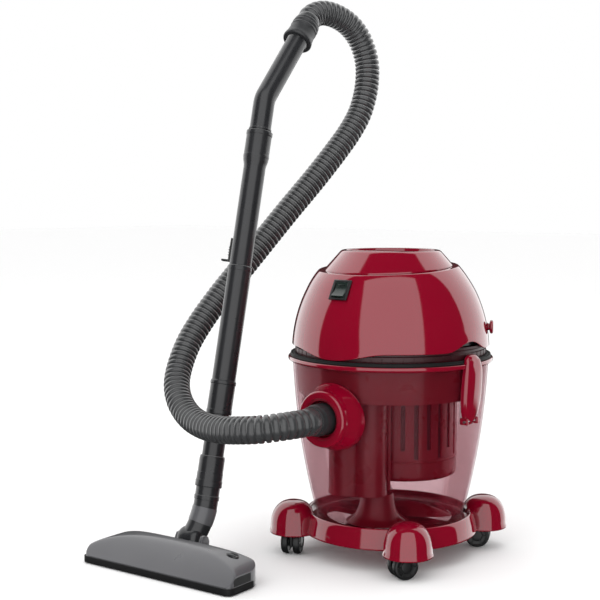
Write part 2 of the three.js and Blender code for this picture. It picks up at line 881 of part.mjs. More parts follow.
function makeDolly() {
  const ledgeTop = tank.floorZ - gap;
  const rimRing = turned(
    [
      [dolly.innerRadius - dolly.ledgeReach, ledgeTop - dolly.ledgeThickness],
      [dolly.innerRadius, ledgeTop - dolly.ledgeThickness],
      [dolly.innerRadius + 2, dolly.bottomZ],
      [dolly.outerRadius - 1, dolly.bottomZ],
      [dolly.outerRadius, dolly.topZ - 5],
      [dolly.outerRadius - 3, dolly.topZ - 0.8],
      [dolly.innerRadius + 3, dolly.topZ],
      [dolly.innerRadius, dolly.topZ - 3],
      [dolly.innerRadius, ledgeTop],
      [dolly.innerRadius - dolly.ledgeReach, ledgeTop],
    ],
    wide,
  );
  const reach = dolly.innerRadius + 1;
  const half = dolly.spokeWidth / 2;
  const [low, high] = [ledgeTop - 9, ledgeTop - 0.2];
  const spokes = [box(-reach, reach, -half, half, low, high), box(-half, half, -reach, reach, low, high)];
  const corners = casters.map(([, x, y]) => [x * casterReach, y * casterReach]);
  const lobes = corners.map(([x, y]) =>
    turned([
      [0, dolly.lobeBottomZ],
      [dolly.lobeRadius - 0.3, dolly.lobeBottomZ],
      [dolly.lobeRadius, dolly.lobeBottomZ + 12],
      [dolly.lobeRadius - 1.5, dolly.lobeBottomZ + 28],
      [dolly.lobeRadius - 6, dolly.lobeTopZ - 12],
      [dolly.lobeRadius - 14, dolly.lobeTopZ - 3.5],
      [dolly.lobeRadius - 24, dolly.lobeTopZ],
      [0, dolly.lobeTopZ],
    ]).translate(x, y, 0),
  );
  const wells = corners.map(([x, y]) =>
    rod(dolly.lobeRadius - 4.5, dolly.lobeBottomZ - 10, dolly.socketFloorZ, round).translate(x, y, 0),
  );
  const sockets = corners.map(([x, y]) => rod(socketRadius, 50, caster.stemTopZ + 1).translate(x, y, 0));
  const solid = join(rimRing, ...spokes, ...lobes);
  const tankWell = rod(tankRadiusAt(dolly.lobeTopZ) + 2, ledgeTop, dolly.lobeTopZ + 20, wide);
  return cut(solid, tankWell, ...wells, ...sockets);
}
place("dolly_frame", makeDolly(), crimson);

function makeHood() {
  const half = caster.webWidth / 2;
  const { wheelRadius, trail, plateBottomZ, plateThickness } = caster;
  const side = new THREE.Shape();
  side.moveTo(-caster.plateRadius + 1, plateBottomZ + 1);
  side.lineTo(-caster.plateRadius + 1, plateBottomZ - 6);
  side.lineTo(trail - 9, wheelRadius - 5);
  side.quadraticCurveTo(trail, wheelRadius - 12, trail + 9, wheelRadius - 3);
  side.quadraticCurveTo(trail + 16, wheelRadius + 8, trail + 4, plateBottomZ + 1);
  side.closePath();
  const web = sideways(side, -half, half, 5);
  const plate = rod(caster.plateRadius, plateBottomZ, plateBottomZ + plateThickness);
  const stem = rod(caster.stemRadius, plateBottomZ + 1, caster.stemTopZ);
  const bore = alongX(rod(caster.axleRadius + gap, -20, 20)).translate(0, trail, wheelRadius);
  return cut(join(web, plate, stem), bore);
}

function makeWheel(side) {
  const inner = caster.webWidth / 2 + caster.sideGap;
  const outer = inner + caster.wheelWidth;
  const r = caster.wheelRadius;
  const wheel = turned(
    [
      [caster.axleRadius + gap, inner],
      [r - 0.8, inner],
      [r, inner + 1],
      [r, outer - 3],
      [r - 3, outer],
      [caster.axleRadius + gap, outer - 1],
    ],
    16,
  );
  return alongX(wheel)
    .scale(side, 1, 1)
    .translate(0, caster.trail, r);
}

for (const [corner, x, y, turn] of casters) {
  const frame = new THREE.Group();
  frame.position.set(x * casterReach, y * casterReach, 0);
  frame.rotation.z = radians(turn);
  machine.add(frame);
  const half = caster.webWidth / 2 + caster.sideGap + caster.wheelWidth - 2;
  const axle = alongX(rod(caster.axleRadius, -half, half)).translate(0, caster.trail, caster.wheelRadius);
  place("caster_" + corner + "_fork", makeHood(), black, frame);
  place("caster_" + corner + "_axle", axle, steel, frame);
  place("caster_" + corner + "_wheel_a", makeWheel(1), black, frame);
  place("caster_" + corner + "_wheel_b", makeWheel(-1), black, frame);
}

// ---------------------------------------------------------------- the wand

wandPlane.position.set(...wand.base);
wandPlane.rotation.z = radians(wand.yaw);
wandLine.rotation.x = -radians(wand.lean);

const spigotBore = wand.upperRadius - wand.wall - 1;
const middleBore = wand.lowerRadius + gap;
place(
  "upper_wand",
  turned([
    [spigotBore, wand.joint - wand.spigot],
    [middleBore - gap, wand.joint - wand.spigot],
    [middleBore - gap, wand.joint + gap],
    [wand.upperRadius, wand.joint + gap],
    [wand.upperRadius, wand.socketStart - 7],
    [wand.socketRadius, wand.socketStart],
    [wand.socketRadius, wand.socketEnd - 1],
    [wand.socketRadius - 1, wand.socketEnd],
    [wand.handleRadius + snug, wand.socketEnd],
    [wand.handleRadius + snug, wand.socketStart - 2],
    [spigotBore, wand.socketStart - 4],
  ]),
  charcoal,
  wandLine,
);
place(
  "middle_wand",
  turned([
    [middleBore, wand.sleeveStart],
    [wand.socketRadius - 1, wand.sleeveStart],
    [wand.socketRadius, wand.sleeveStart + 2],
    [wand.socketRadius, wand.sleeveEnd - 2],
    [wand.middleRadius, wand.sleeveEnd],
    [wand.middleRadius, wand.joint],
    [middleBore, wand.joint],
  ]),
  charcoal,
  wandLine,
);
place(
  "lower_wand",
  ring(wand.lowerRadius - wand.wall, wand.lowerRadius, wand.collarRing + 14, wand.lowerTop),
  charcoal,
  wandLine,
);

const neckRadius = wand.middleRadius;
const ringRadius = neckRadius + snug + 1.6;
place(
  "neck_collar",
  turned([
    [neckRadius + snug, wand.collarStart],
    [ringRadius - 0.6, wand.collarStart],
    [ringRadius, wand.collarStart + 1.5],
    [ringRadius, wand.collarRing - 1.5],
    [neckRadius + 1.6, wand.collarRing],
    [neckRadius + 1.6, wand.collarRing + 10],
    [neckRadius + 0.8, wand.collarEnd - 1],
    [neckRadius + 0.2, wand.collarEnd],
    [wand.lowerRadius + gap, wand.collarEnd],
    [wand.lowerRadius + gap, wand.collarRing + 13.5],
    [wand.lowerRadius - 2.4, wand.collarRing + 13.5],
    [wand.lowerRadius - 2.4, wand.collarRing + 9],
    [neckRadius + snug, wand.collarRing + 9],
  ]),
  charcoal,
  wandLine,
);

// The clip that locks the two upper tubes together. It slides on the upper tube, by its thumb tab.
function makeClip() {
  const inner = wand.upperRadius + gap;
  const outer = inner + clip.thickness;
  const half = clip.width / 2;
  const strip = box(-half, half, -outer, -inner + 0.2, clip.start, clip.start + clip.length);
  const curved = overlap(strip, ring(inner, outer, clip.start, clip.start + clip.length, 32));
  const tab = box(-half + 2, half - 2, -outer - clip.tab, -outer + 1.5, clip.start, clip.start + 3);
  return join(curved, tab).rotateZ(radians(clip.angle - 270));
}
place("wand_clip", makeClip(), black, wandLine);

// The handle leaves the socket along the wand, bends, and rises to the hose.
const leanStep = radians(wand.handleLean - wand.lean);
const bendReach = wand.bendRadius * Math.tan(leanStep / 2);
const tailOfGrip = wand.grip + 26;
function makeHandle() {
  const away = (distance) =>
    new THREE.Vector3(0, distance * Math.sin(leanStep), wand.bend + distance * Math.cos(leanStep));
  const path = new THREE.CurvePath();
  const start = new THREE.Vector3(0, 0, wand.socketStart - 1);
  const before = new THREE.Vector3(0, 0, wand.bend - bendReach);
  const corner = new THREE.Vector3(0, 0, wand.bend);
  path.add(new THREE.LineCurve3(start, before));
  path.add(new THREE.QuadraticBezierCurve3(before, corner, away(bendReach)));
  path.add(new THREE.LineCurve3(away(bendReach), away(tailOfGrip)));
  return tube(path, wand.handleRadius, wand.handleRadius - wand.wall - 0.4, 14, 16);
}
place("handle_tube", makeHandle(), charcoal, wandLine);

handleEnd.position.set(
  0,
  wand.bend * Math.sin(radians(wand.lean)),
  wand.bend * Math.cos(radians(wand.lean)),
);
handleEnd.rotation.x = -radians(wand.handleLean);
const cuffEnd = wand.grip + cuff.length;
place(
  "hose_handle_cuff",
  turned([
    [wand.handleRadius + snug, wand.grip],
    [cuff.lipRadius - 1.5, wand.grip],
    [cuff.lipRadius, wand.grip + 2.5],
    [cuff.lipRadius - 0.6, wand.grip + 6],
    [cuff.bodyRadius + 1, wand.grip + 12],
    [cuff.bodyRadius, wand.grip + 22],
    [cuff.bodyRadius, cuffEnd - 3],
    [cuff.bodyRadius - 1, cuffEnd],
    [cuff.bodyRadius - cuff.endWall, cuffEnd],
    [cuff.bodyRadius - cuff.endWall, tailOfGrip + 4],
    [wand.handleRadius + snug, tailOfGrip + 1],
  ]),
  rubber,
  handleEnd,
);

// ---------------------------------------------------------------- the hose

const machineCuffEnd = inlet.mouth + 20;
place(
  "hose_machine_cuff",
  facingFront(
    turned([
      [17, inlet.innerEnd + 8],
      [inlet.bore - 0.5, inlet.innerEnd + 8],
      [inlet.bore - 0.5, inlet.mouth + 14],
      [inlet.bore - 2, machineCuffEnd],
      [17, machineCuffEnd],
    ]),
  ).translate(0, 0, inlet.axisZ),
  rubber,
);

model.updateMatrixWorld(true);
const hoseStart = new THREE.Vector3(0, -machineCuffEnd - gap, inlet.axisZ);
const hoseEnd = handleEnd.localToWorld(new THREE.Vector3(0, 0, cuffEnd + hose.endGap));
const hosePoints = [hoseStart, ...hoseRoute.map((p) => new THREE.Vector3(...p)), hoseEnd];
const hosePath = new THREE.CatmullRomCurve3(hosePoints, false, "centripetal");
place("hose", tube(hosePath, hose.radius, hose.radius - hose.wall, hose.sides, hose.steps), hoseGrey);

// ---------------------------------------------------------------- the floor nozzle

nozzleFrame.position.set(nozzle.centre[0], nozzle.centre[1], 0);
nozzleFrame.rotation.z = radians(wand.yaw);

// The nozzle seen from above, shrunk or grown all round.
function nozzlePlan(inset) {
  const w = nozzle.halfWidth - inset;
  const front = nozzle.front + inset;
  const back = nozzle.back - inset;
  const rb = nozzle.backCorner - inset / 2;
  const rf = nozzle.frontCorner;
  const plan = new THREE.Shape();
  plan.moveTo(-w + rf, front);
  plan.lineTo(w - rf, front);
  plan.quadraticCurveTo(w, front, w, front + rf);
  plan.lineTo(w, back - rb);
  plan.quadraticCurveTo(w - 2, back - 5, w - rb, back);
  plan.lineTo(-w + rb, back);
  plan.quadraticCurveTo(-w + 2, back - 5, -w, back - rb);
  plan.lineTo(-w, front + rf);
  plan.quadraticCurveTo(-w, front, -w + rf, front);
  return plan;
}

// The nozzle seen from its end.
function nozzleSide(inset, low) {
  const top = nozzle.height - inset;
  const front = nozzle.front + inset;
  const back = nozzle.back - inset;
  const side = new THREE.Shape();
  side.moveTo(front, low);
  side.lineTo(front, 12 - inset / 2);
  side.quadraticCurveTo(front + 18, top - 8, 8, top - 1);
  side.quadraticCurveTo(22, top + 0.5, back - 6, top - 3);
  side.quadraticCurveTo(back, top - 5, back, top - 12);
  side.lineTo(back, low);
  side.closePath();
  return side;
}

// The nozzle seen from the front: its top falls away towards both ends.
function nozzleFace(inset, low) {
  const w = nozzle.halfWidth - inset;
  const end = nozzle.endHeight - inset;
  const top = nozzle.height - inset;
  const face = new THREE.Shape();
  face.moveTo(-w, low);
  face.lineTo(-w, end - 12);
  face.quadraticCurveTo(-w, end, -w + 16, end + 3);
  face.quadraticCurveTo(-w * 0.5, top, 0, top);
  face.quadraticCurveTo(w * 0.5, top, w - 16, end + 3);
  face.quadraticCurveTo(w, end, w, end - 12);
  face.lineTo(w, low);
  face.closePath();
  return face;
}

function nozzleForm(inset, low) {
  const { halfWidth, front, back, height } = nozzle;
  const plan = raised(nozzlePlan(inset), low, height + 5, 4);
  const side = sideways(nozzleSide(inset, low), -halfWidth - 5, halfWidth + 5, 5);
  const face = facingFront(raised(nozzleFace(inset, low), -back - 5, -front + 5, 6));
  return overlap(plan, side, face);
}

// The neck's line in the nozzle's frame: from inside the collar, round the elbow, to the pivot.
function neckCurve(extraTop) {
  const intoNozzle = nozzleFrame.matrixWorld.clone().invert().multiply(wandLine.matrixWorld);
  const along = (s) => new THREE.Vector3(0, 0, s).applyMatrix4(intoNozzle);
  const pivot = new THREE.Vector3(0, neck.pivotY, neck.pivotZ);
  const path = new THREE.CurvePath();
  path.add(new THREE.LineCurve3(along(wand.collarRing + 8 + extraTop), along(neck.elbowStart)));
  path.add(new THREE.QuadraticBezierCurve3(along(neck.elbowStart), along(neck.elbowCorner), pivot));
  return path;
}

const knuckleCut = () =>
  alongX(rod(neck.knuckleRadius + 0.8, -neck.knuckleHalf - 0.8, neck.knuckleHalf + 0.8, round)).translate(
    0,
    neck.pivotY,
    neck.pivotZ,
  );
const pinBore = (radius, half) => alongX(rod(radius, -half, half)).translate(0, neck.pivotY, neck.pivotZ);

function pedalOutline(grow) {
  return new THREE.Shape().absellipse(
    pedal.x,
    pedal.y,
    pedal.halfLength + grow,
    pedal.halfWidth + grow,
    0,
    2 * Math.PI,
  );
}

// The room the neck needs at rest, when the nozzle's front tips up, and as the wand leans back.
function neckRoom() {
  model.updateMatrixWorld(true);
  const swung = (degrees, grow) => {
    const room = tube(neckCurve(0), neckRadius + grow, 0, round, 8);
    room.translate(0, -neck.pivotY, -neck.pivotZ).rotateX(radians(degrees));
    return room.translate(0, neck.pivotY, neck.pivotZ);
  };
  return [swung(0, 1.5), swung(neck.tipUp, 1.5), ...neck.leans.map((lean) => swung(-lean, 0.8))];
}

function makeNozzleBody() {
  const shell = cut(nozzleForm(0, nozzle.rimZ), nozzleForm(nozzle.wall, nozzle.rimZ - 1));
  const inner = neck.knuckleHalf + 0.8;
  const cheekSide = new THREE.Shape();
  cheekSide.moveTo(nozzle.back - 2, 8);
  cheekSide.lineTo(neck.pivotY + 4, 16);
  cheekSide.absarc(neck.pivotY, neck.pivotZ, 12, radians(-40), radians(120));
  cheekSide.lineTo(nozzle.back - 2, nozzle.height - 12);
  cheekSide.closePath();
  const cheek = (low) => sideways(cheekSide, low, low + neck.cheek, 5);
  const lugs = [cheek(inner), cheek(-inner - neck.cheek)];
  const pedalHole = raised(pedalOutline(0.8), 10, 60, 5);
  return cut(join(shell, ...lugs), knuckleCut(), ...neckRoom(), pinBore(neck.pinRadius + gap, 60), pedalHole);
}
place("nozzle_body", makeNozzleBody(), slate, nozzleFrame);

function makeSole() {
  const plate = raised(nozzlePlan(nozzle.wall + gap), 0, nozzle.soleThickness, 4);
  const slotHalf = nozzle.slotDepth / 2;
  const slot = box(
    -nozzle.slotHalfWidth,
    nozzle.slotHalfWidth,
    nozzle.slotY - slotHalf,
    nozzle.slotY + slotHalf,
    -1,
    10,
  );
  const half = nozzle.brushDepth / 2 + 1;
  const reach = nozzle.brushHalfWidth + 1;
  const brushSlot = box(-reach, reach, nozzle.brushY - half, nozzle.brushY + half, -1, 10);
  return cut(plate, slot, brushSlot);
}
place("nozzle_sole", makeSole(), charcoal, nozzleFrame);

const brushHalf = nozzle.brushDepth / 2;
place(
  "nozzle_brush",
  box(
    -nozzle.brushHalfWidth,
    nozzle.brushHalfWidth,
    nozzle.brushY - brushHalf,
    nozzle.brushY + brushHalf,
    0.2,
    nozzle.brushHeight,
  ),
  bristle,
  nozzleFrame,
);

function makeBumper() {
  const band = raised(nozzlePlan(-gap - nozzle.bumperThickness), 1.5, 1.5 + nozzle.bumperHeight, 4);
  const hole = raised(nozzlePlan(-gap), 0, 20, 4);
  return cut(band, hole, box(-200, 200, nozzle.back - nozzle.backCorner, 100, -10, 40));
}
place("nozzle_bumper", makeBumper(), rubber, nozzleFrame);

function makePedal() {
  const low = raised(pedalOutline(0), pedal.bottomZ, 60, 5);
  const raisedForm = nozzleForm(0, nozzle.rimZ).translate(0, 0, pedal.rise);
  return overlap(low, raisedForm);
}
place("nozzle_pedal", makePedal(), charcoal, nozzleFrame);

place("neck_pin", pinBore(neck.pinRadius, neck.knuckleHalf + 0.8 + neck.cheek), steel, nozzleFrame);

// The neck runs from the knuckle between the nozzle's cheeks up into the collar on the wand.
function makeNeck() {
  const outer = tube(neckCurve(0), neckRadius, 0, 14, 8);
  const passage = neckCurve(4);
  const pivot = new THREE.Vector3(0, neck.pivotY, neck.pivotZ);
  const onward = passage.getTangentAt(1).multiplyScalar(26);
  passage.add(new THREE.LineCurve3(pivot, pivot.clone().add(onward)));
  const bore = tube(passage, neckRadius - 3, 0, 12, 10);
  const knuckle = alongX(rod(neck.knuckleRadius, -neck.knuckleHalf, neck.knuckleHalf, round));
  knuckle.translate(0, neck.pivotY, neck.pivotZ);
  return cut(join(outer, knuckle), bore, pinBore(neck.pinRadius + gap, 40));
}
place("nozzle_neck", makeNeck(), charcoal, nozzleFrame);

// ---------------------------------------------------------------- origin

const onHose = new Set(["hose", "hose_machine_cuff", "hose_handle_cuff"]);
model.updateMatrixWorld(true);
const footprint = new THREE.Box3();
model.traverse((piece) => {
  if (piece.isMesh && !onHose.has(piece.name)) footprint.union(new THREE.Box3().setFromObject(piece, true));
});
const middle = footprint.getCenter(new THREE.Vector3());
model.position.set(-middle.x, -middle.y, -footprint.min.z);

export default model;
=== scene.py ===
"""Looks of a canister shop vacuum, built round its fixed frame: the studio, the finishes and every piece that shows."""

import logging
import math
from collections.abc import Callable, Iterable, Sequence
from dataclasses import dataclass, field
from enum import Enum

import bmesh
import bpy
from mathutils import Matrix, Vector


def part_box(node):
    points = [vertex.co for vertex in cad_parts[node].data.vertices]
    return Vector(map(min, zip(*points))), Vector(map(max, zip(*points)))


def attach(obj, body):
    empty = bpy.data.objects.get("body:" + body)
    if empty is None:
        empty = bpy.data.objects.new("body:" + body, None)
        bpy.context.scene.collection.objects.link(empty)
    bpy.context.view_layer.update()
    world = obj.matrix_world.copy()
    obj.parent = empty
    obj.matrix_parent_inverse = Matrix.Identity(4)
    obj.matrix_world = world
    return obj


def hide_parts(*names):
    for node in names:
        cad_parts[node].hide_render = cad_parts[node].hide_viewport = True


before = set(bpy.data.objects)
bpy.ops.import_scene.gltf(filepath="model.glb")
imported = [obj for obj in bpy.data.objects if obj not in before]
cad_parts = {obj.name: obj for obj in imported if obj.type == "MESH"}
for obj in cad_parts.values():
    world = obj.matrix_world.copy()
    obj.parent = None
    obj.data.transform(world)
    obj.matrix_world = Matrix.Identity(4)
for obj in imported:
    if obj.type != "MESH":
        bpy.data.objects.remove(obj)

log = logging.getLogger("shop_vacuum")

Profile = list[tuple[float, float]]
Corner = tuple[float, float, float]

MACHINE_BODY = "machine"
HEAD_BODY = "head"
WAND_BODY = "wand_lower"
NOZZLE_BODY = "nozzle"


# ---------------------------------------------------------------- finishes


class Grain(Enum):
    """The fine relief that a finish carries."""

    POLISHED = "polished"
    PEBBLED = "pebbled"
    BRUSHED = "brushed"
    FOAMED = "foamed"
    MATTE = "matte"


@dataclass(frozen=True)
class Finish:
    """A surface as it left its maker: its colours, its gloss and its grain."""

    name: str
    slot: str
    colour: tuple[float, float, float]
    shade: tuple[float, float, float]
    roughness: float
    spread: float = 0.04
    grain: Grain = Grain.POLISHED
    grain_per_metre: float = 900.0
    relief: float = 0.05
    metallic: float = 0.0
    specular: float = 0.5
    coat: float = 0.0
    coat_roughness: float = 0.05

    def material(self) -> bpy.types.Material:
        """Makes the material, or gives back the one already made.

        Returns:
            The node material for this finish.
        """
        known = bpy.data.materials.get(self.name)
        if known is not None:
            return known
        material = bpy.data.materials.new(self.name)
        material.use_nodes = True
        material.diffuse_color = (*self.colour, 1.0)
        tree = material.node_tree
        tree.nodes.clear()
        output = tree.nodes.new("ShaderNodeOutputMaterial")
        surface = self.surface(tree)
        tree.links.new(surface.outputs[0], output.inputs["Surface"])
        return material

    def surface(self, tree: bpy.types.NodeTree) -> bpy.types.Node:
        """Builds the shader that the output shows.

        Args:
            tree: The material's node tree.

        Returns:
            The node whose first output is the shader.
        """
        return self.moulded(tree)

    def moulded(self, tree: bpy.types.NodeTree) -> bpy.types.Node:
        """Builds the opaque surface: mottled colour, uneven gloss and relief.

        Args:
            tree: The material's node tree.

        Returns:
            The Principled node.
        """
        place = tree.nodes.new("ShaderNodeTexCoord").outputs["Object"]
        shader = tree.nodes.new("ShaderNodeBsdfPrincipled")
        shader.inputs["Metallic"].default_value = self.metallic
        shader.inputs["Specular IOR Level"].default_value = self.specular
        shader.inputs["Coat Weight"].default_value = self.coat
        shader.inputs["Coat Roughness"].default_value = self.coat_roughness
        mottle = self.noise(tree, place, 9.0, 4.0)
        blend = tree.nodes.new("ShaderNodeMix")
        blend.data_type = "RGBA"
        blend.inputs["A"].default_value = (*self.colour, 1.0)
        blend.inputs["B"].default_value = (*self.shade, 1.0)
        tree.links.new(mottle, blend.inputs["Factor"])
        tree.links.new(blend.outputs["Result"], shader.inputs["Base Color"])
        smudge = self.noise(tree, place, 34.0, 6.0)
        gloss = tree.nodes.new("ShaderNodeMapRange")
        gloss.inputs["From Min"].default_value = 0.3
        gloss.inputs["From Max"].default_value = 0.7
        gloss.inputs["To Min"].default_value = max(0.02, self.roughness - self.spread)
        gloss.inputs["To Max"].default_value = min(1.0, self.roughness + self.spread)
        tree.links.new(smudge, gloss.inputs["Value"])
        tree.links.new(gloss.outputs["Result"], shader.inputs["Roughness"])
        tree.links.new(self.relief_of(tree, place), shader.inputs["Normal"])
        return shader

    def noise(
        self, tree: bpy.types.NodeTree, place: bpy.types.NodeSocket, scale: float, detail: float
    ) -> bpy.types.NodeSocket:
        """Adds a noise pattern.

        Args:
            tree: The material's node tree.
            place: The coordinates that it reads.
            scale: Its cells to the metre.
            detail: How many finer layers it has.

        Returns:
            The socket with its value.
        """
        node = tree.nodes.new("ShaderNodeTexNoise")
        node.inputs["Scale"].default_value = scale
        node.inputs["Detail"].default_value = detail
        tree.links.new(place, node.inputs["Vector"])
        return node.outputs["Fac"]

    def relief_of(self, tree: bpy.types.NodeTree, place: bpy.types.NodeSocket) -> bpy.types.NodeSocket:
        """Adds the grain's bump.

        Args:
            tree: The material's node tree.
            place: The coordinates that it reads.

        Returns:
            The socket with the bumped normal.
        """
        if self.grain is Grain.BRUSHED:
            stretch = tree.nodes.new("ShaderNodeMapping")
            stretch.inputs["Scale"].default_value = (1.0, 1.0, 0.04)
            tree.links.new(place, stretch.inputs["Vector"])
            height = self.noise(tree, stretch.outputs["Vector"], self.grain_per_metre, 2.0)
        elif self.grain in (Grain.FOAMED, Grain.PEBBLED):
            cells = tree.nodes.new("ShaderNodeTexVoronoi")
            cells.inputs["Scale"].default_value = self.grain_per_metre
            tree.links.new(place, cells.inputs["Vector"])
            height = cells.outputs["Distance"]
        else:
            height = self.noise(tree, place, self.grain_per_metre, 3.0)
        bump = tree.nodes.new("ShaderNodeBump")
        bump.inputs["Strength"].default_value = self.relief
        bump.inputs["Distance"].default_value = 0.4 / self.grain_per_metre
        tree.links.new(height, bump.inputs["Height"])
        return bump.outputs["Normal"]


@dataclass(frozen=True)
class ClearFinish(Finish):
    """A clear moulding: it is seen straight through, tinted, with a gloss on top."""

    passed: tuple[float, float, float] = (0.95, 0.9, 0.91)
    haze: float = 0.06
    edge_haze: float = 0.32

    def surface(self, tree: bpy.types.NodeTree) -> bpy.types.Node:
        """Builds the clear surface.

        Args:
            tree: The material's node tree.

        Returns:
            The node whose first output is the shader.
        """
        through = tree.nodes.new("ShaderNodeBsdfTransparent")
        through.inputs["Color"].default_value = (*self.passed, 1.0)
        skin = self.moulded(tree)
        edge = tree.nodes.new("ShaderNodeLayerWeight")
        edge.inputs["Blend"].default_value = 0.25
        share = tree.nodes.new("ShaderNodeMapRange")
        share.inputs["To Min"].default_value = self.haze
        share.inputs["To Max"].default_value = self.edge_haze
        tree.links.new(edge.outputs["Fresnel"], share.inputs["Value"])
        mix = tree.nodes.new("ShaderNodeMixShader")
        tree.links.new(share.outputs["Result"], mix.inputs[0])
        tree.links.new(through.outputs[0], mix.inputs[1])
        tree.links.new(skin.outputs[0], mix.inputs[2])
        return mix


CRIMSON = Finish(
    "glossy_crimson", "crimson_plastic", (0.232, 0.001, 0.015), (0.205, 0.0008, 0.013), 0.08, 0.02,
    grain_per_metre=420.0, relief=0.008, coat=1.0, coat_roughness=0.02,
)
MAROON = Finish(
    "moulded_maroon", "dark_red_plastic", (0.21, 0.003, 0.014), (0.17, 0.002, 0.011), 0.3, 0.05,
    grain_per_metre=700.0, relief=0.06, coat=0.2,
)
CLEAR = ClearFinish(
    "clear_pink", "clear_plastic", (0.36, 0.03, 0.06), (0.31, 0.025, 0.05), 0.08, 0.03,
    grain_per_metre=300.0, relief=0.015, coat=0.6, passed=(0.87, 0.785, 0.8), haze=0.05,
)
CHARCOAL = Finish(
    "charcoal_tube", "charcoal_plastic", (0.021, 0.0215, 0.024), (0.015, 0.0155, 0.0175), 0.3, 0.05,
    grain_per_metre=1300.0, relief=0.05, coat=0.25,
)
SLATE = Finish(
    "slate_moulding", "slate_plastic", (0.1, 0.1, 0.107), (0.085, 0.085, 0.092), 0.32, 0.05,
    grain_per_metre=1100.0, relief=0.05, coat=0.35, coat_roughness=0.12,
)
HOSE_GREY = Finish(
    "ribbed_hose_grey", "hose_plastic", (0.045, 0.0465, 0.048), (0.034, 0.035, 0.037), 0.3, 0.05,
    grain_per_metre=900.0, relief=0.06, coat=0.5, coat_roughness=0.2,
)
BLACK = Finish(
    "black_moulding", "black_plastic", (0.011, 0.0115, 0.012), (0.007, 0.0075, 0.008), 0.42, 0.07,
    grain=Grain.PEBBLED, grain_per_metre=1600.0, relief=0.08,
)
SWITCH_GREEN = Finish(
    "dark_green_rocker", "charcoal_plastic", (0.012, 0.022, 0.018), (0.009, 0.017, 0.014), 0.28, 0.04,
    grain_per_metre=1500.0, relief=0.04, coat=0.3,
)
# painted shade: this maroon is darkened to stand for the shadow in the gap under the head's edge; the basket rim and
# the filter screen wear it
PAINTED_SHADE_MAROON = Finish(
    "painted_shade_maroon", "dark_red_plastic", (0.045, 0.003, 0.007), (0.03, 0.002, 0.005), 0.4, 0.06,
    grain_per_metre=800.0, relief=0.06,
)
RUBBER = Finish(
    "soft_black_rubber", "black_rubber", (0.008, 0.008, 0.0085), (0.005, 0.005, 0.0055), 0.62, 0.08,
    grain=Grain.MATTE, grain_per_metre=2200.0, relief=0.12, specular=0.25,
)
CUFF = Finish(
    "smooth_cuff", "black_rubber", (0.026, 0.027, 0.029), (0.018, 0.019, 0.021), 0.4, 0.06,
    grain=Grain.MATTE, grain_per_metre=1500.0, relief=0.07,
)
STEEL = Finish(
    "brushed_steel", "steel", (0.56, 0.57, 0.58), (0.44, 0.45, 0.46), 0.28, 0.06,
    grain=Grain.BRUSHED, grain_per_metre=2600.0, relief=0.12, metallic=1.0,
)
IRON = Finish(
    "varnished_iron", "motor_iron", (0.19, 0.11, 0.07), (0.12, 0.07, 0.05), 0.45, 0.1,
    grain=Grain.BRUSHED, grain_per_metre=1800.0, relief=0.2, metallic=0.6,
)
FOAM = Finish(
    "open_foam", "foam", (0.075, 0.075, 0.08), (0.04, 0.04, 0.045), 0.95, 0.04,
    grain=Grain.FOAMED, grain_per_metre=800.0, relief=0.8, specular=0.15,
)
FLOAT_CREAM = Finish(
    "cream_float", "float_plastic", (0.72, 0.68, 0.6), (0.66, 0.62, 0.54), 0.5, 0.06,
    grain=Grain.PEBBLED, grain_per_metre=1400.0, relief=0.08,
)
BRISTLE = Finish(
    "black_bristle", "bristle", (0.012, 0.012, 0.012), (0.02, 0.02, 0.02), 0.75, 0.1,
    grain=Grain.BRUSHED, grain_per_metre=3000.0, relief=0.4, specular=0.25,
)


# ---------------------------------------------------------------- shapes, in millimetres about the machine's axis


def curve_points(ends: Sequence[tuple[float, float]], count: int) -> Profile:
    """Points along a cubic curve.

    Args:
        ends: Its start, its two handles and its end.
        count: How many spans to cut it into.

    Returns:
        The points, from the start to the end.
    """
    a, b, c, d = (Vector(p) for p in ends)
    line = []
    for i in range(count + 1):
        t = i / count
        s = 1 - t
        p = a * s**3 + b * (3 * s * s * t) + c * (3 * s * t * t) + d * t**3
        line.append((p.x, p.y))
    return line


def rounded(corners: Sequence[Corner], closed: bool, steps: int = 4) -> Profile:
    """A profile with its corners rounded off.

    Args:
        corners: Each corner's radius from the axis, its height, and how far its rounding reaches.
        closed: Whether the last corner joins the first.
        steps: Spans in each rounding.

    Returns:
        The profile's points.
    """
    line: Profile = []
    count = len(corners)
    for i, (r, z, reach) in enumerate(corners):
        here = Vector((r, z))
        inside = closed or 0 < i < count - 1
        if reach <= 0 or not inside:
            line.append((r, z))
            continue
        before = Vector(corners[i - 1][:2]) - here
        after = Vector(corners[(i + 1) % count][:2]) - here
        start = here + before.normalized() * min(reach, before.length * 0.45)
        end = here + after.normalized() * min(reach, after.length * 0.45)
        for k in range(steps + 1):
            t = k / steps
            p = start * (1 - t) ** 2 + here * (2 * t * (1 - t)) + end * t**2
            line.append((p.x, p.y))
    return line


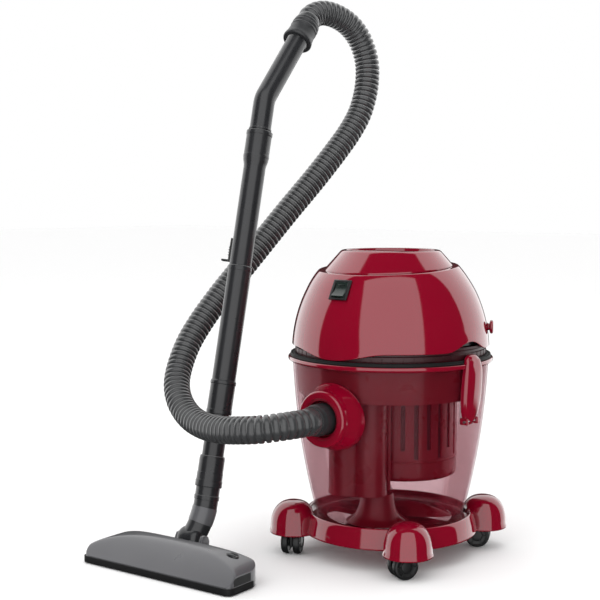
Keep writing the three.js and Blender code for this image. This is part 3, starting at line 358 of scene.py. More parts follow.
def turned(
    corners: Sequence[Corner], sides: int = 96, closed: bool = True, sweep: float = math.tau
) -> bmesh.types.BMesh:
    """A shape turned about the Z axis.

    Args:
        corners: The profile's corners, as rounded takes them.
        sides: Steps round the axis.
        closed: Whether the profile joins up with itself. It doesn't when both its ends lie on the axis.
        sweep: The angle turned through.

    Returns:
        The shape.
    """
    points = rounded(corners, closed)
    shape = bmesh.new()
    verts = [shape.verts.new((r, 0.0, z)) for r, z in points]
    edges = [shape.edges.new(pair) for pair in zip(verts, verts[1:])]
    if closed:
        edges.append(shape.edges.new((verts[-1], verts[0])))
    whole = sweep >= math.tau - 1e-6
    bmesh.ops.spin(
        shape, geom=verts + edges, cent=(0, 0, 0), axis=(0, 0, 1), dvec=(0, 0, 0), angle=sweep, steps=sides,
        use_merge=whole, use_normal_flip=False, use_duplicate=False,
    )
    bmesh.ops.remove_doubles(shape, verts=shape.verts[:], dist=1e-4)
    if not whole:
        bmesh.ops.holes_fill(shape, edges=[e for e in shape.edges if e.is_boundary], sides=0)
    bmesh.ops.recalc_face_normals(shape, faces=shape.faces[:])
    return shape


def frames_along(path: Sequence[Vector]) -> list[Matrix]:
    """A frame at each point of a line, Z along it, carried along without twisting.

    Args:
        path: The line's points.

    Returns:
        One matrix to a point.
    """
    found = []
    side = None
    for i, point in enumerate(path):
        ahead = path[min(i + 1, len(path) - 1)] - path[max(i - 1, 0)]
        ahead.normalize()
        if side is None:
            side = ahead.orthogonal().normalized()
        side = (side - ahead * side.dot(ahead)).normalized()
        across = ahead.cross(side)
        turn = Matrix((side, across, ahead)).transposed().to_4x4()
        found.append(Matrix.Translation(point) @ turn)
    return found


def swept(path: Sequence[Vector], radii: Sequence[float], sides: int, joined_up: bool = False) -> bmesh.types.BMesh:
    """A round section drawn along a line.

    Args:
        path: The line's points.
        radii: The section's radius at each point.
        sides: Sides of the section.
        joined_up: Whether the last section joins the first, as in a tube with a wall. If not, the ends are closed.

    Returns:
        The shape.
    """
    shape = bmesh.new()
    places = frames_along(path)
    bmesh.ops.create_circle(shape, cap_ends=False, radius=radii[0], segments=sides, matrix=places[0])
    first = shape.edges[:]
    edges = first
    for i in range(1, len(places)):
        grown = bmesh.ops.extrude_edge_only(shape, edges=edges)["geom"]
        verts = [g for g in grown if isinstance(g, bmesh.types.BMVert)]
        edges = [g for g in grown if isinstance(g, bmesh.types.BMEdge)]
        step = places[i] @ Matrix.Scale(radii[i] / radii[i - 1], 4) @ places[i - 1].inverted()
        bmesh.ops.transform(shape, matrix=step, verts=verts)
    if joined_up:
        bmesh.ops.bridge_loops(shape, edges=first + edges)
    else:
        bmesh.ops.holes_fill(shape, edges=[e for e in shape.edges if e.is_boundary], sides=0)
    bmesh.ops.recalc_face_normals(shape, faces=shape.faces[:])
    return shape


def piped(path: Sequence[Vector], radii: Sequence[float], wall: float, sides: int) -> bmesh.types.BMesh:
    """A tube with a wall and open ends, drawn along a line.

    Args:
        path: The line's points.
        radii: Its outer radius at each point.
        wall: How thick it is.
        sides: Sides of the section.

    Returns:
        The shape.
    """
    outer = swept(path, radii, sides)
    core = swept(path, [r - wall for r in radii], sides)
    for part in (outer, core):
        ends = [f for f in part.faces if len(f.verts) == sides and sides > 4]
        bmesh.ops.delete(part, geom=ends, context="FACES_ONLY")
    bmesh.ops.reverse_faces(core, faces=core.faces[:])
    shape = joined(outer, core)
    rims = [e for e in shape.edges if e.is_boundary]
    near = [e for e in rims if (e.verts[0].co - path[0]).length < (e.verts[0].co - path[-1]).length]
    far = [e for e in rims if e not in set(near)]
    for loop in (near, far):
        bmesh.ops.bridge_loops(shape, edges=loop)
    bmesh.ops.recalc_face_normals(shape, faces=shape.faces[:])
    return shape


def block(size: Sequence[float], centre: Sequence[float], edge: float = 0.0, segments: int = 3) -> bmesh.types.BMesh:
    """A block with its edges rounded.

    Args:
        size: Its three sides.
        centre: Where its middle is.
        edge: How far the rounding reaches.
        segments: Spans in the rounding.

    Returns:
        The shape.
    """
    shape = bmesh.new()
    bmesh.ops.create_cube(shape, size=1.0)
    bmesh.ops.scale(shape, vec=Vector(size), verts=shape.verts[:])
    if edge > 0:
        bevel_edges(shape, shape.edges[:], edge, segments)
    bmesh.ops.translate(shape, vec=Vector(centre), verts=shape.verts[:])
    return shape


def bevel_edges(shape: bmesh.types.BMesh, edges: list[bmesh.types.BMEdge], reach: float, segments: int = 3) -> None:
    """Rounds edges off.

    Args:
        shape: The shape that they are on.
        edges: The edges.
        reach: How far the rounding reaches.
        segments: Spans in it.
    """
    bmesh.ops.bevel(
        shape, geom=edges, offset=reach, offset_type="OFFSET", segments=segments, profile=0.5, affect="EDGES",
        clamp_overlap=True, material=-1,
    )


def softened(
    shape: bmesh.types.BMesh, reach: float, sharper_than: float = 40.0, segments: int = 2
) -> bmesh.types.BMesh:
    """Rounds off every edge that is sharper than some angle.

    Args:
        shape: The shape.
        reach: How far the rounding reaches.
        sharper_than: The angle, in degrees.
        segments: Spans in the rounding.

    Returns:
        The same shape.
    """
    limit = math.radians(sharper_than)
    sharp = [e for e in shape.edges if len(e.link_faces) == 2 and e.calc_face_angle(0.0) > limit]
    bevel_edges(shape, sharp, reach, segments)
    return shape


def moved(shape: bmesh.types.BMesh, *steps: Matrix) -> bmesh.types.BMesh:
    """Moves a shape by each matrix in turn, and gives it back."""
    for step in steps:
        bmesh.ops.transform(shape, matrix=step, verts=shape.verts[:])
    return shape


def joined(first: bmesh.types.BMesh, *others: bmesh.types.BMesh) -> bmesh.types.BMesh:
    """Puts shapes together as one.

    Args:
        first: The shape that takes in the rest.
        others: The rest, which are used up.

    Returns:
        The first shape.
    """
    for other in others:
        carrier = bpy.data.meshes.new("carrier")
        other.to_mesh(carrier)
        other.free()
        first.from_mesh(carrier)
        bpy.data.meshes.remove(carrier)
    return first


def loose_object(name: str, shape: bmesh.types.BMesh) -> bpy.types.Object:
    """Makes an object of a shape and puts it in the scene.

    Args:
        name: The object's name.
        shape: The shape, which is used up.

    Returns:
        The object.
    """
    mesh = bpy.data.meshes.new(name)
    shape.to_mesh(mesh)
    shape.free()
    made = bpy.data.objects.new(name, mesh)
    bpy.context.scene.collection.objects.link(made)
    return made


def carved(
    shape: bmesh.types.BMesh, cutters: Iterable[bmesh.types.BMesh], folded: bool = False
) -> bmesh.types.BMesh:
    """Cuts shapes out of a shape.

    Args:
        shape: The shape that is cut, which is used up.
        cutters: The shapes that are taken away, which are used up too.
        folded: Whether the shape's skin may run through itself at tight corners.

    Returns:
        What is left.
    """
    blank = loose_object("blank", shape)
    tools = []
    for cutter in cutters:
        tool = loose_object("cutter", cutter)
        cut = blank.modifiers.new("cut", "BOOLEAN")
        cut.operation = "DIFFERENCE"
        cut.solver = "EXACT"
        cut.use_self = folded
        cut.object = tool
        tools.append(tool)
    bpy.context.view_layer.update()
    final = blank.evaluated_get(bpy.context.evaluated_depsgraph_get())
    left = bmesh.new()
    left.from_mesh(final.to_mesh())
    final.to_mesh_clear()
    for spent in (blank, *tools):
        mesh = spent.data
        bpy.data.objects.remove(spent)
        bpy.data.meshes.remove(mesh)
    bmesh.ops.dissolve_degenerate(left, dist=1e-4, edges=left.edges[:])
    return left


def plug(radius: float, low: float, high: float, sides: int) -> bmesh.types.BMesh:
    """A plain round bar about Z, to cut holes and rooms with.

    Args:
        radius: Its radius.
        low: Where it starts.
        high: Where it ends.
        sides: Sides of its section.

    Returns:
        The bar.
    """
    return turned([(0, low, 0), (radius, low, 0), (radius, high, 0), (0, high, 0)], sides, False)


def thickened(shape: bmesh.types.BMesh, face: bmesh.types.BMFace, by: Corner) -> bmesh.types.BMesh:
    """Draws a flat face out into a solid.

    Args:
        shape: The shape that holds the face alone.
        face: The face.
        by: How far it is drawn, along each axis.

    Returns:
        The same shape.
    """
    grown = bmesh.ops.extrude_face_region(shape, geom=[face])["geom"]
    bmesh.ops.translate(shape, vec=by, verts=[g for g in grown if isinstance(g, bmesh.types.BMVert)])
    bmesh.ops.recalc_face_normals(shape, faces=shape.faces[:])
    return shape


def turn(degrees: float, axis: str) -> Matrix:
    """A turn about an axis through the origin, as a matrix."""
    return Matrix.Rotation(math.radians(degrees), 4, axis)


def shift(x: float, y: float, z: float) -> Matrix:
    """A move, as a matrix."""
    return Matrix.Translation((x, y, z))


FACE_FRONT = turn(90, "X")


@dataclass
class Bench:
    """Where shapes become finished pieces of the machine.

    A shape comes in millimetres about the machine's axis, and leaves in metres in the frame's own axes.
    """

    axis: Vector
    made: list[bpy.types.Object] = field(default_factory=list)

    @classmethod
    def at_machine(cls) -> "Bench":
        """Sets the bench up on the machine's axis, which its motor stands on.

        Returns:
            The bench.
        """
        low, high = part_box("motor_stator")
        middle = (low + high) / 2
        return cls(Vector((middle.x, middle.y, 0.0)))

    def piece(
        self,
        name: str,
        shape: bmesh.types.BMesh,
        finish: Finish,
        body: str,
        stands_for: Sequence[str] = (),
        place: Matrix | None = None,
        crease: float = 38.0,
        mirrored: bool = True,
    ) -> bpy.types.Object:
        """Finishes a shape and fixes it to its body.

        Args:
            name: The piece's name.
            shape: Its shape, which is used up.
            finish: What it is dressed in.
            body: The body that it moves with.
            stands_for: The frame's nodes that it takes the place of.
            place: Where it goes on the machine, if it isn't there yet.
            crease: The angle above which an edge stays sharp, in degrees.
            mirrored: Whether other pieces mirror it.

        Returns:
            The piece.
        """
        if place is not None:
            moved(shape, place)
        moved(shape, Matrix.Scale(0.001, 4), Matrix.Translation(self.axis))
        made = loose_object(name, shape)
        made.data.shade_smooth()
        made.data.set_sharp_from_angle(angle=math.radians(crease))
        made.data.materials.append(finish.material())
        if stands_for:
            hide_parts(*stands_for)
        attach(made, body)
        made.visible_glossy = mirrored and body not in (WAND_BODY, NOZZLE_BODY, "clip", "pedal", "brush")
        self.made.append(made)
        log.info("%s: %d faces, on %s", name, len(made.data.polygons), body)
        return made

    def dress(self, node: str, finish: Finish) -> None:
        """Gives a node of the frame its finish.

        Args:
            node: The node's name.
            finish: What it is dressed in.
        """
        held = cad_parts[node]
        held.data.materials.clear()
        held.data.materials.append(finish.material())
        log.info("%s: dressed in %s", node, finish.name)


# ---------------------------------------------------------------- the studio


@dataclass
class Softbox:
    """A soft light: which way it stands from the machine, how far, how big and how bright."""

    name: str
    bearing: float
    rise: float
    distance: float
    width: float
    height: float
    power: float
    in_gloss: bool = True

    def hang(self, target: Vector) -> bpy.types.Object:
        """Hangs the light and turns it to its target.

        Args:
            target: The point that it faces, in metres.

        Returns:
            The light.
        """
        lamp = bpy.data.lights.new(self.name, "AREA")
        lamp.shape = "RECTANGLE"
        lamp.size = self.width
        lamp.size_y = self.height
        lamp.energy = self.power
        light = bpy.data.objects.new(self.name, lamp)
        flat = Vector((math.cos(math.radians(self.bearing)), math.sin(math.radians(self.bearing)), 0.0))
        up = math.radians(self.rise)
        light.location = target + (flat * math.cos(up) + Vector((0, 0, math.sin(up)))) * self.distance
        light.rotation_euler = (target - light.location).to_track_quat("-Z", "Y").to_euler()
        light.visible_glossy = self.in_gloss
        bpy.context.scene.collection.objects.link(light)
        return light


@dataclass
class Studio:
    """The camera, the lights and the floor."""

    lens: float = 74.79
    camera_at: tuple[float, float, float] = (1.089, -1.5815, 0.552)
    camera_tilt: float = 85.187
    camera_bearing: float = 38.715
    floor_size: float = 30.0
    pale: tuple[float, float, float] = (0.985, 0.985, 0.985)
    backdrop: float = 1.0
    fill: float = 1.0
    box_glow: float = 1.35
    dim: float = 0.03

    def set_camera(self, bench: Bench) -> bpy.types.Object:
        """Sets the camera up.

        Args:
            bench: The bench, for the machine's axis.

        Returns:
            The camera.
        """
        lens = bpy.data.cameras.new("camera")
        lens.lens = self.lens
        lens.sensor_width = 36.0
        lens.clip_end = 100.0
        camera = bpy.data.objects.new("camera", lens)
        camera.location = Vector(self.camera_at) + bench.axis
        camera.rotation_euler = (math.radians(self.camera_tilt), 0.0, math.radians(self.camera_bearing))
        bpy.context.scene.collection.objects.link(camera)
        bpy.context.scene.camera = camera
        return camera

    def lay_floor(self) -> bpy.types.Object:
        """Lays the plain floor and gives it its finish.

        Returns:
            The floor.
        """
        shape = bmesh.new()
        bmesh.ops.create_grid(shape, x_segments=1, y_segments=1, size=self.floor_size / 2)
        floor = loose_object("floor", shape)
        material = bpy.data.materials.new("pale_floor")
        material.use_nodes = True
        shader = material.node_tree.nodes["Principled BSDF"]
        shader.inputs["Base Color"].default_value = (*self.pale, 1.0)
        shader.inputs["Roughness"].default_value = 0.9
        shader.inputs["Specular IOR Level"].default_value = 0.1
        floor.data.materials.append(material)
        floor.visible_glossy = False
        return floor

    def light_room(self) -> None:
        """Lights the room evenly, and hangs the softboxes that the gloss shows in it."""
        world = bpy.data.worlds.new("room")
        bpy.context.scene.world = world
        world.use_nodes = True
        tree = world.node_tree
        tree.nodes.clear()
        output = tree.nodes.new("ShaderNodeOutputWorld")
        rays = tree.nodes.new("ShaderNodeLightPath")
        fill = self.glow(tree, self.fill)
        gloss = self.glow(tree, self.mirrored(tree))
        backdrop = self.glow(tree, self.backdrop)
        inner = tree.nodes.new("ShaderNodeMixShader")
        outer = tree.nodes.new("ShaderNodeMixShader")
        tree.links.new(rays.outputs["Is Glossy Ray"], inner.inputs[0])
        tree.links.new(fill, inner.inputs[1])
        tree.links.new(gloss, inner.inputs[2])
        tree.links.new(rays.outputs["Is Camera Ray"], outer.inputs[0])
        tree.links.new(inner.outputs[0], outer.inputs[1])
        tree.links.new(backdrop, outer.inputs[2])
        tree.links.new(outer.outputs[0], output.inputs["Surface"])

    def glow(self, tree: bpy.types.NodeTree, strength: float | bpy.types.NodeSocket) -> bpy.types.NodeSocket:
        """Adds white light.

        Args:
            tree: The world's node tree.
            strength: How strong it is, as a number or as a socket that says so.

        Returns:
            The socket with the light.
        """
        node = tree.nodes.new("ShaderNodeBackground")
        node.inputs["Color"].default_value = (1.0, 1.0, 1.0, 1.0)
        if isinstance(strength, float):
            node.inputs["Strength"].default_value = strength
        else:
            tree.links.new(strength, node.inputs["Strength"])
        return node.outputs[0]

    def calculated(
        self, tree: bpy.types.NodeTree, operation: str,
        first: float | bpy.types.NodeSocket, second: float | bpy.types.NodeSocket,
    ) -> bpy.types.NodeSocket:
        """Adds a calculation with two numbers.

        Args:
            tree: The world's node tree.
            operation: Which calculation.
            first: The first number, or a socket with it.
            second: The second.

        Returns:
            The socket with the result.
        """
        node = tree.nodes.new("ShaderNodeMath")
        node.operation = operation
        for socket, value in zip(node.inputs, (first, second)):
            if isinstance(value, float):
                socket.default_value = value
            else:
                tree.links.new(value, socket)
        return node.outputs[0]

    def between(
        self, tree: bpy.types.NodeTree, value: bpy.types.NodeSocket, low: float, high: float, blur: float
    ) -> bpy.types.NodeSocket:
        """Adds a window that is 1 between two values and 0 outside them.

        Args:
            tree: The world's node tree.
            value: The socket that is looked at.
            low: Where the window opens.
            high: Where it closes.
            blur: How wide each of its edges is.

        Returns:
            The socket with the window.
        """
        edges = []
        for middle, rises in ((low, 1.0), (high, -1.0)):
            edge = tree.nodes.new("ShaderNodeMapRange")
            edge.interpolation_type = "SMOOTHSTEP"
            edge.inputs["From Min"].default_value = middle - blur * rises
            edge.inputs["From Max"].default_value = middle + blur * rises
            tree.links.new(value, edge.inputs["Value"])
            edges.append(edge.outputs["Result"])
        return self.calculated(tree, "MULTIPLY", *edges)

    def mirrored(self, tree: bpy.types.NodeTree) -> bpy.types.NodeSocket:
        """Works out what gloss sees: a tall box in front and a wall of light on either side, in a dark room.

        Args:
            tree: The world's node tree.

        Returns:
            The socket with the strength.
        """
        place = tree.nodes.new("ShaderNodeTexCoord").outputs["Generated"]
        swing = tree.nodes.new("ShaderNodeVectorRotate")
        swing.rotation_type = "Z_AXIS"
        swing.inputs["Angle"].default_value = -math.radians(self.camera_bearing)
        tree.links.new(place, swing.inputs["Vector"])
        half = tree.nodes.new("ShaderNodeVectorMath")
        half.operation = "ADD"
        half.inputs[1].default_value = (0.0, -1.0, 0.084)
        tree.links.new(swing.outputs[0], half.inputs[0])
        facing = tree.nodes.new("ShaderNodeVectorMath")
        facing.operation = "NORMALIZE"
        tree.links.new(half.outputs[0], facing.inputs[0])
        way = tree.nodes.new("ShaderNodeSeparateXYZ")
        tree.links.new(swing.outputs[0], way.inputs[0])
        middle = tree.nodes.new("ShaderNodeSeparateXYZ")
        tree.links.new(facing.outputs[0], middle.inputs[0])
        ahead = self.calculated(tree, "ABSOLUTE", middle.outputs["Y"], 0.0)
        bearing = self.calculated(tree, "DIVIDE", middle.outputs["X"], ahead)
        sag = self.calculated(tree, "MULTIPLY", self.calculated(tree, "MULTIPLY", bearing, bearing), 0.4)
        crown = self.calculated(tree, "ADD", middle.outputs["Z"], sag)
        front = self.calculated(
            tree, "MULTIPLY",
            self.between(tree, bearing, -0.37, 0.32, 0.012),
            self.between(tree, crown, -0.2, 0.635, 0.012),
        )
        sides = self.calculated(
            tree, "MULTIPLY",
            self.between(tree, way.outputs["Y"], 0.07, 0.93, 0.02),
            self.between(tree, way.outputs["Z"], -0.3, 0.95, 0.05),
        )
        boxes = self.calculated(tree, "MAXIMUM", front, sides)
        lit = self.calculated(tree, "MULTIPLY", boxes, self.box_glow)
        return self.calculated(tree, "ADD", lit, self.dim)

    def softboxes(self) -> list[Softbox]:
        """The lights that model the shape: one overhead and one to the upper left. The gloss shows neither."""
        front = self.camera_bearing - 90.0
        return [
            Softbox("overhead_panel", front + 10.0, 80.0, 3.2, 3.2, 3.2, 26.0, in_gloss=False),
            Softbox("key_panel", front - 42.0, 38.0, 3.4, 2.4, 2.4, 22.0, in_gloss=False),
        ]

    def set_up(self) -> None:
        """Lays the floor and hangs the lights."""
        bpy.context.scene.view_settings.view_transform = "Standard"
        self.lay_floor()
        self.light_room()
        for box in self.softboxes():
            box.hang(Vector((0.0, 0.05, 0.3)))
        log.info("studio: %d lights", len(self.softboxes()))


# ---------------------------------------------------------------- the hose


@dataclass
class Wand:
    """The wand: its line, its three tubes, its collar, its clip and the bent handle."""

    yaw: float = 2.6
    lean: float = 13.5
    handle_lean: float = 41.5
    base: tuple[float, float, float] = (-172.7, -231.6, 100.0)
    upper_radius: float = 17.0
    middle_radius: float = 18.0
    lower_radius: float = 16.4
    handle_radius: float = 16.5
    socket_radius: float = 19.5
    wall: float = 1.4
    bend: float = 618.0
    bend_radius: float = 34.0
    grip: float = 127.0
    sides: int = 64

    @property
    def plane(self) -> Matrix:
        """The upright plane that the wand leans in."""
        return shift(*self.base) @ turn(self.yaw, "Z")

    @property
    def line(self) -> Matrix:
        """The wand's own line, Z up along it."""
        return self.plane @ turn(-self.lean, "X")

    @property
    def handle_end(self) -> Matrix:
        """The line of the handle's upper part, from the bend.

        Returns:
            The frame at the end of the handle.
        """
        lean = math.radians(self.lean)
        rise = shift(0.0, self.bend * math.sin(lean), self.bend * math.cos(lean))
        return self.plane @ rise @ turn(-self.handle_lean, "X")

    def build(self, bench: Bench) -> None:
        """Builds the wand.

        Args:
            bench: The bench that finishes the pieces.
        """
        self.build_tubes(bench)
        self.build_collar(bench)
        self.build_clip(bench)
        self.build_handle(bench)

    def build_tubes(self, bench: Bench) -> None:
        """Builds the upper, middle and lower tubes.

        Args:
            bench: The bench that finishes the pieces.
        """
        bore = self.upper_radius - self.wall - 1.0
        seat = self.lower_radius + 0.3
        top = self.handle_radius + 0.7
        upper = turned(
            [
                (bore, 321.0, 0.3), (self.lower_radius, 321.0, 0.6), (self.lower_radius, 353.3, 0.0),
                (self.upper_radius, 353.3, 0.4), (self.upper_radius, 511.0, 3.0), (19.2, 519.0, 3.0),
                (self.socket_radius, 523.0, 1.0), (19.9, 524.0, 0.5), (19.9, 527.0, 0.5),
                (self.socket_radius, 528.0, 0.5),
                (self.socket_radius, 558.0, 0.5), (20.3, 559.5, 0.8), (20.3, 565.0, 1.2), (top, 566.0, 0.8),
                (top, 517.0, 0.4), (bore, 515.0, 0.4),
            ],
            self.sides,
        )
        bench.piece("wand_upper_tube", upper, CHARCOAL, MACHINE_BODY, ["upper_wand"], self.line, mirrored=False)
        middle = turned(
            [
                (seat, 125.0, 0.3), (19.1, 125.0, 1.0), (self.socket_radius, 128.0, 0.8),
                (self.socket_radius, 131.0, 0.4),
                (18.9, 132.0, 0.4), (18.9, 170.0, 0.4), (19.6, 171.0, 0.4), (19.6, 174.5, 0.8),
                (self.middle_radius, 177.0, 0.8), (self.middle_radius, 345.0, 0.4), (18.5, 346.0, 0.4),
                (18.5, 352.0, 0.8), (17.4, 353.0, 0.4), (seat, 353.0, 0.3),
            ],
            self.sides,
        )
        bench.piece("wand_middle_tube", middle, CHARCOAL, MACHINE_BODY, ["middle_wand"], self.line, mirrored=False)
        inside = self.lower_radius - self.wall
        lower = turned(
            [
                (inside, 40.0, 0.4), (self.lower_radius, 40.0, 0.4),
                (self.lower_radius, 215.0, 0.4), (inside, 215.0, 0.4),
            ],
            self.sides,
        )
        bench.piece("wand_lower_tube", lower, CHARCOAL, WAND_BODY, ["lower_wand"], self.line, mirrored=False)

    def build_collar(self, bench: Bench) -> None:
        """Builds the collar that holds the lower tube on the neck."""
        collar = turned(
            [
                (18.75, 15.0, 0.3), (19.7, 15.0, 0.5), (20.3, 16.5, 0.6), (20.3, 24.5, 0.8), (19.6, 26.0, 0.5),
                (19.6, 36.0, 0.5), (19.2, 37.0, 0.4), (19.2, 58.0, 0.4), (18.4, 61.5, 0.6), (16.75, 62.0, 0.3),
                (16.7, 39.5, 0.2), (14.0, 39.5, 0.2), (14.0, 35.0, 0.2), (18.7, 35.0, 0.2),
            ],
            self.sides,
        )
        bench.piece("wand_neck_collar", collar, CHARCOAL, WAND_BODY, ["neck_collar"], self.line)

    def build_clip(self, bench: Bench) -> None:
        """Builds the sliding clip with its thumb tab and its grip ribs.

        Args:
            bench: The bench that finishes the pieces.
        """
        width = 44.0
        strip = turned(
            [(17.35, 358.0, 0.3), (20.3, 358.0, 1.0), (20.5, 376.0, 1.0), (20.3, 394.0, 1.2), (17.35, 394.0, 0.3)],
            16, True, math.radians(width),
        )
        moved(strip, turn(-width / 2, "Z"))
        tab = block((11.5, 9.0, 3.0), (24.9, 0.0, 359.6), 1.1)
        ribs = [block((1.2, 9.0, 1.4), (20.6, 0.0, z), 0.4, 2) for z in (368.0, 372.0, 376.0, 380.0)]
        clip = moved(joined(strip, tab, *ribs), turn(205, "Z"))
        bench.piece("wand_tube_clip", clip, BLACK, "clip", ["wand_clip"], self.line)

    def build_handle(self, bench: Bench) -> None:
        """Builds the bent handle, with a bead where it meets the socket.

        Args:
            bench: The bench that finishes the pieces.
        """
        step = math.radians(self.handle_lean - self.lean)
        reach = self.bend_radius * math.tan(step / 2)

        def beyond(distance: float) -> Vector:
            """A point of the upper part, at a distance past the bend."""
            return Vector((0.0, distance * math.sin(step), self.bend + distance * math.cos(step)))

        line = [Vector((0, 0, 518.5)), Vector((0, 0, 560)), Vector((0, 0, self.bend - reach - 6))]
        start, corner, end = Vector((0, 0, self.bend - reach)), Vector((0, 0, self.bend)), beyond(reach)
        for i in range(13):
            t = i / 12
            line.append(start * (1 - t) ** 2 + corner * (2 * t * (1 - t)) + end * t**2)
        line += [beyond(reach + 6), beyond(60), beyond(self.grip + 25.6)]
        handle = piped(line, [self.handle_radius] * len(line), self.wall, 48)
        bead = turned([(16.0, 567.0, 0.0), (17.6, 567.0, 0.6), (17.6, 570.0, 0.6), (16.0, 570.5, 0.0)], self.sides)
        bench.piece(
            "wand_handle", joined(handle, bead), CHARCOAL, MACHINE_BODY, ["handle_tube"], self.line, mirrored=False,
        )


HOSE_ROUTE = [
    (0, -212, 229), (-3, -230, 229), (-12, -252, 228), (-31, -271, 225), (-64, -279, 221), (-104, -277, 217),
    (-145, -270, 218), (-182, -260, 227), (-211, -249, 245), (-231, -234, 267), (-242, -214, 294), (-246, -190, 326),
    (-243, -160, 361), (-234, -129, 397), (-222, -94, 436), (-207, -56, 480), (-190, -15, 528), (-172, 28, 577),
    (-156, 68, 625), (-147, 92, 656), (-141, 110, 685), (-138, 121, 714), (-138, 128, 741), (-140, 131, 767),
    (-144, 128, 791), (-150, 119, 814), (-158, 103, 833), (-168, 82, 845), (-177, 62, 849), (-182, 47, 846),
    (-184.5, 35, 839),
]


@dataclass
class HoseRun:
    """The ribbed hose from the inlet to the handle, and the cuff at each of its ends."""

    wand: Wand
    radius: float = 20.0
    groove: float = 2.4
    inlet_groove: float = 1.2
    wall: float = 1.2
    pitch: float = 8.0
    inlet_pitch: float = 11.5
    inlet_stretch: float = 150.0
    sides: int = 36
    inlet_z: float = 229.0
    cuff_end: float = 196.0
    handle_cuff_end: float = 171.0

    def smooth_line(self, points: Sequence[Vector], steps: int = 16) -> list[Vector]:
        """A smooth curve through points.

        Args:
            points: The points that it goes through.
            steps: Spans between two of them.

        Returns:
            The curve's own points, close together.
        """
        ends = [points[0] * 2 - points[1], *points, points[-1] * 2 - points[-2]]
        line = []
        for a, b, c, d in zip(ends, ends[1:], ends[2:], ends[3:]):
            first, middle, last = (max((q - p).length, 1e-6) ** 0.5 for p, q in ((a, b), (b, c), (c, d)))
            leave = ((b - a) / first - (c - a) / (first + middle) + (c - b) / middle) * middle
            arrive = ((c - b) / middle - (d - b) / (middle + last) + (d - c) / last) * middle
            for k in range(steps):
                t = k / steps
                line.append(
                    b * (2 * t**3 - 3 * t**2 + 1) + leave * (t**3 - 2 * t**2 + t)
                    + c * (3 * t**2 - 2 * t**3) + arrive * (t**3 - t**2)
                )
        line.append(points[-1])
        return line

    def at_distances(self, line: Sequence[Vector], wanted: Sequence[float]) -> list[Vector]:
        """Points at given distances along a line.

        Args:
            line: The line's points.
            wanted: The distances, rising.

        Returns:
            One point to a distance.
        """
        found = []
        i, passed = 0, 0.0
        for distance in wanted:
            while i < len(line) - 2 and passed + (line[i + 1] - line[i]).length < distance:
                passed += (line[i + 1] - line[i]).length
                i += 1
            span = (line[i + 1] - line[i]).length
            found.append(line[i].lerp(line[i + 1], min(1.0, (distance - passed) / span)))
        return found

    def ribs(self, length: float) -> tuple[list[float], list[float]]:
        """Where the hose's sections are, and how wide each one is.

        Args:
            length: The hose's length.

        Returns:
            The distances along it, and the radius at each.
        """
        crest, groove = self.radius, self.radius - self.groove
        shares = [
            (0.0, groove), (0.16, groove), (0.3, crest - 0.35), (0.42, crest), (0.72, crest),
            (0.86, crest - 0.35),
        ]
        smooth = 5.0
        distances, radii = [0.0, 6.0, 14.0, 16.0], [crest, crest + 0.2, crest - 0.2, crest - 1.0]
        at = 17.5
        while True:
            along = min(1.0, at / self.inlet_stretch)
            pitch = self.inlet_pitch + (self.pitch - self.inlet_pitch) * along
            if at + pitch > length - smooth - 1.0:
                break
            deeper = self.inlet_groove * (1 - along)
            for share, radius in shares:
                distances.append(at + share * pitch)
                radii.append(radius - deeper if radius == groove else radius)
            at += pitch
        distances += [at + 0.5, length - smooth, length]
        radii += [groove, crest - 0.8, crest - 0.8]
        return distances, radii

    def build(self, bench: Bench) -> None:
        """Builds the hose and its cuffs, and says how long it is.

        Args:
            bench: The bench that finishes the pieces.
        """
        end = self.wand.handle_end @ Vector((0, 0, self.handle_cuff_end + 1.5))
        start = Vector((0, -self.cuff_end - 0.3, self.inlet_z))
        line = self.smooth_line([start, *(Vector(p) for p in HOSE_ROUTE), end])
        length = sum((b - a).length for a, b in zip(line, line[1:]))
        distances, radii = self.ribs(length)
        path = self.at_distances(line, distances)
        hose = piped(path, radii, self.wall, self.sides)
        tube = bench.piece("ribbed_hose", hose, HOSE_GREY, MACHINE_BODY, ["hose"], crease=60.0, mirrored=False)
        cuffs = [self.build_inlet_cuff(bench), self.build_handle_cuff(bench)]
        log.info("hose: %.3f m from cuff to cuff", length / 1000)

    def build_inlet_cuff(self, bench: Bench) -> bpy.types.Object:
        """Builds the smooth cuff that plugs into the inlet.

        Args:
            bench: The bench that finishes the pieces.

        Returns:
            The cuff that the hose leaves the machine by.
        """
        cuff = turned(
            [
                (17.0, 126.0, 0.5), (23.0, 126.0, 1.5), (23.3, 176.0, 0.0), (23.3, 188.0, 1.5), (22.2, 190.5, 1.5),
                (21.9, 193.0, 0.8), (21.4, 196.0, 0.8), (17.0, 196.0, 0.5),
            ],
            72,
        )
        place = shift(0, 0, self.inlet_z) @ FACE_FRONT
        return bench.piece("inlet_cuff", cuff, CUFF, MACHINE_BODY, ["hose_machine_cuff"], place)

    def build_handle_cuff(self, bench: Bench) -> bpy.types.Object:
        """Builds the flared cuff on the handle, with its finger ribs."""
        cuff = turned(
            [
                (17.2, 127.0, 0.3), (23.0, 127.0, 1.2), (24.4, 129.5, 1.5), (23.9, 133.0, 1.5), (22.4, 139.0, 3.0),
                (21.4, 149.0, 3.0), (21.4, 153.0, 0.4), (22.1, 154.0, 0.5), (22.1, 156.0, 0.5), (21.4, 157.0, 0.5),
                (21.4, 160.0, 0.5), (22.1, 161.0, 0.5), (22.1, 163.0, 0.5), (21.4, 164.0, 0.5), (21.4, 168.0, 0.6),
                (20.4, 171.0, 0.8), (17.2, 171.0, 0.3), (17.2, 157.0, 0.2),
            ],
            72,
        )
        return bench.piece(
            "handle_cuff", cuff, CUFF, MACHINE_BODY, ["hose_handle_cuff"], self.wand.handle_end, mirrored=False,
        )


# ---------------------------------------------------------------- the tank


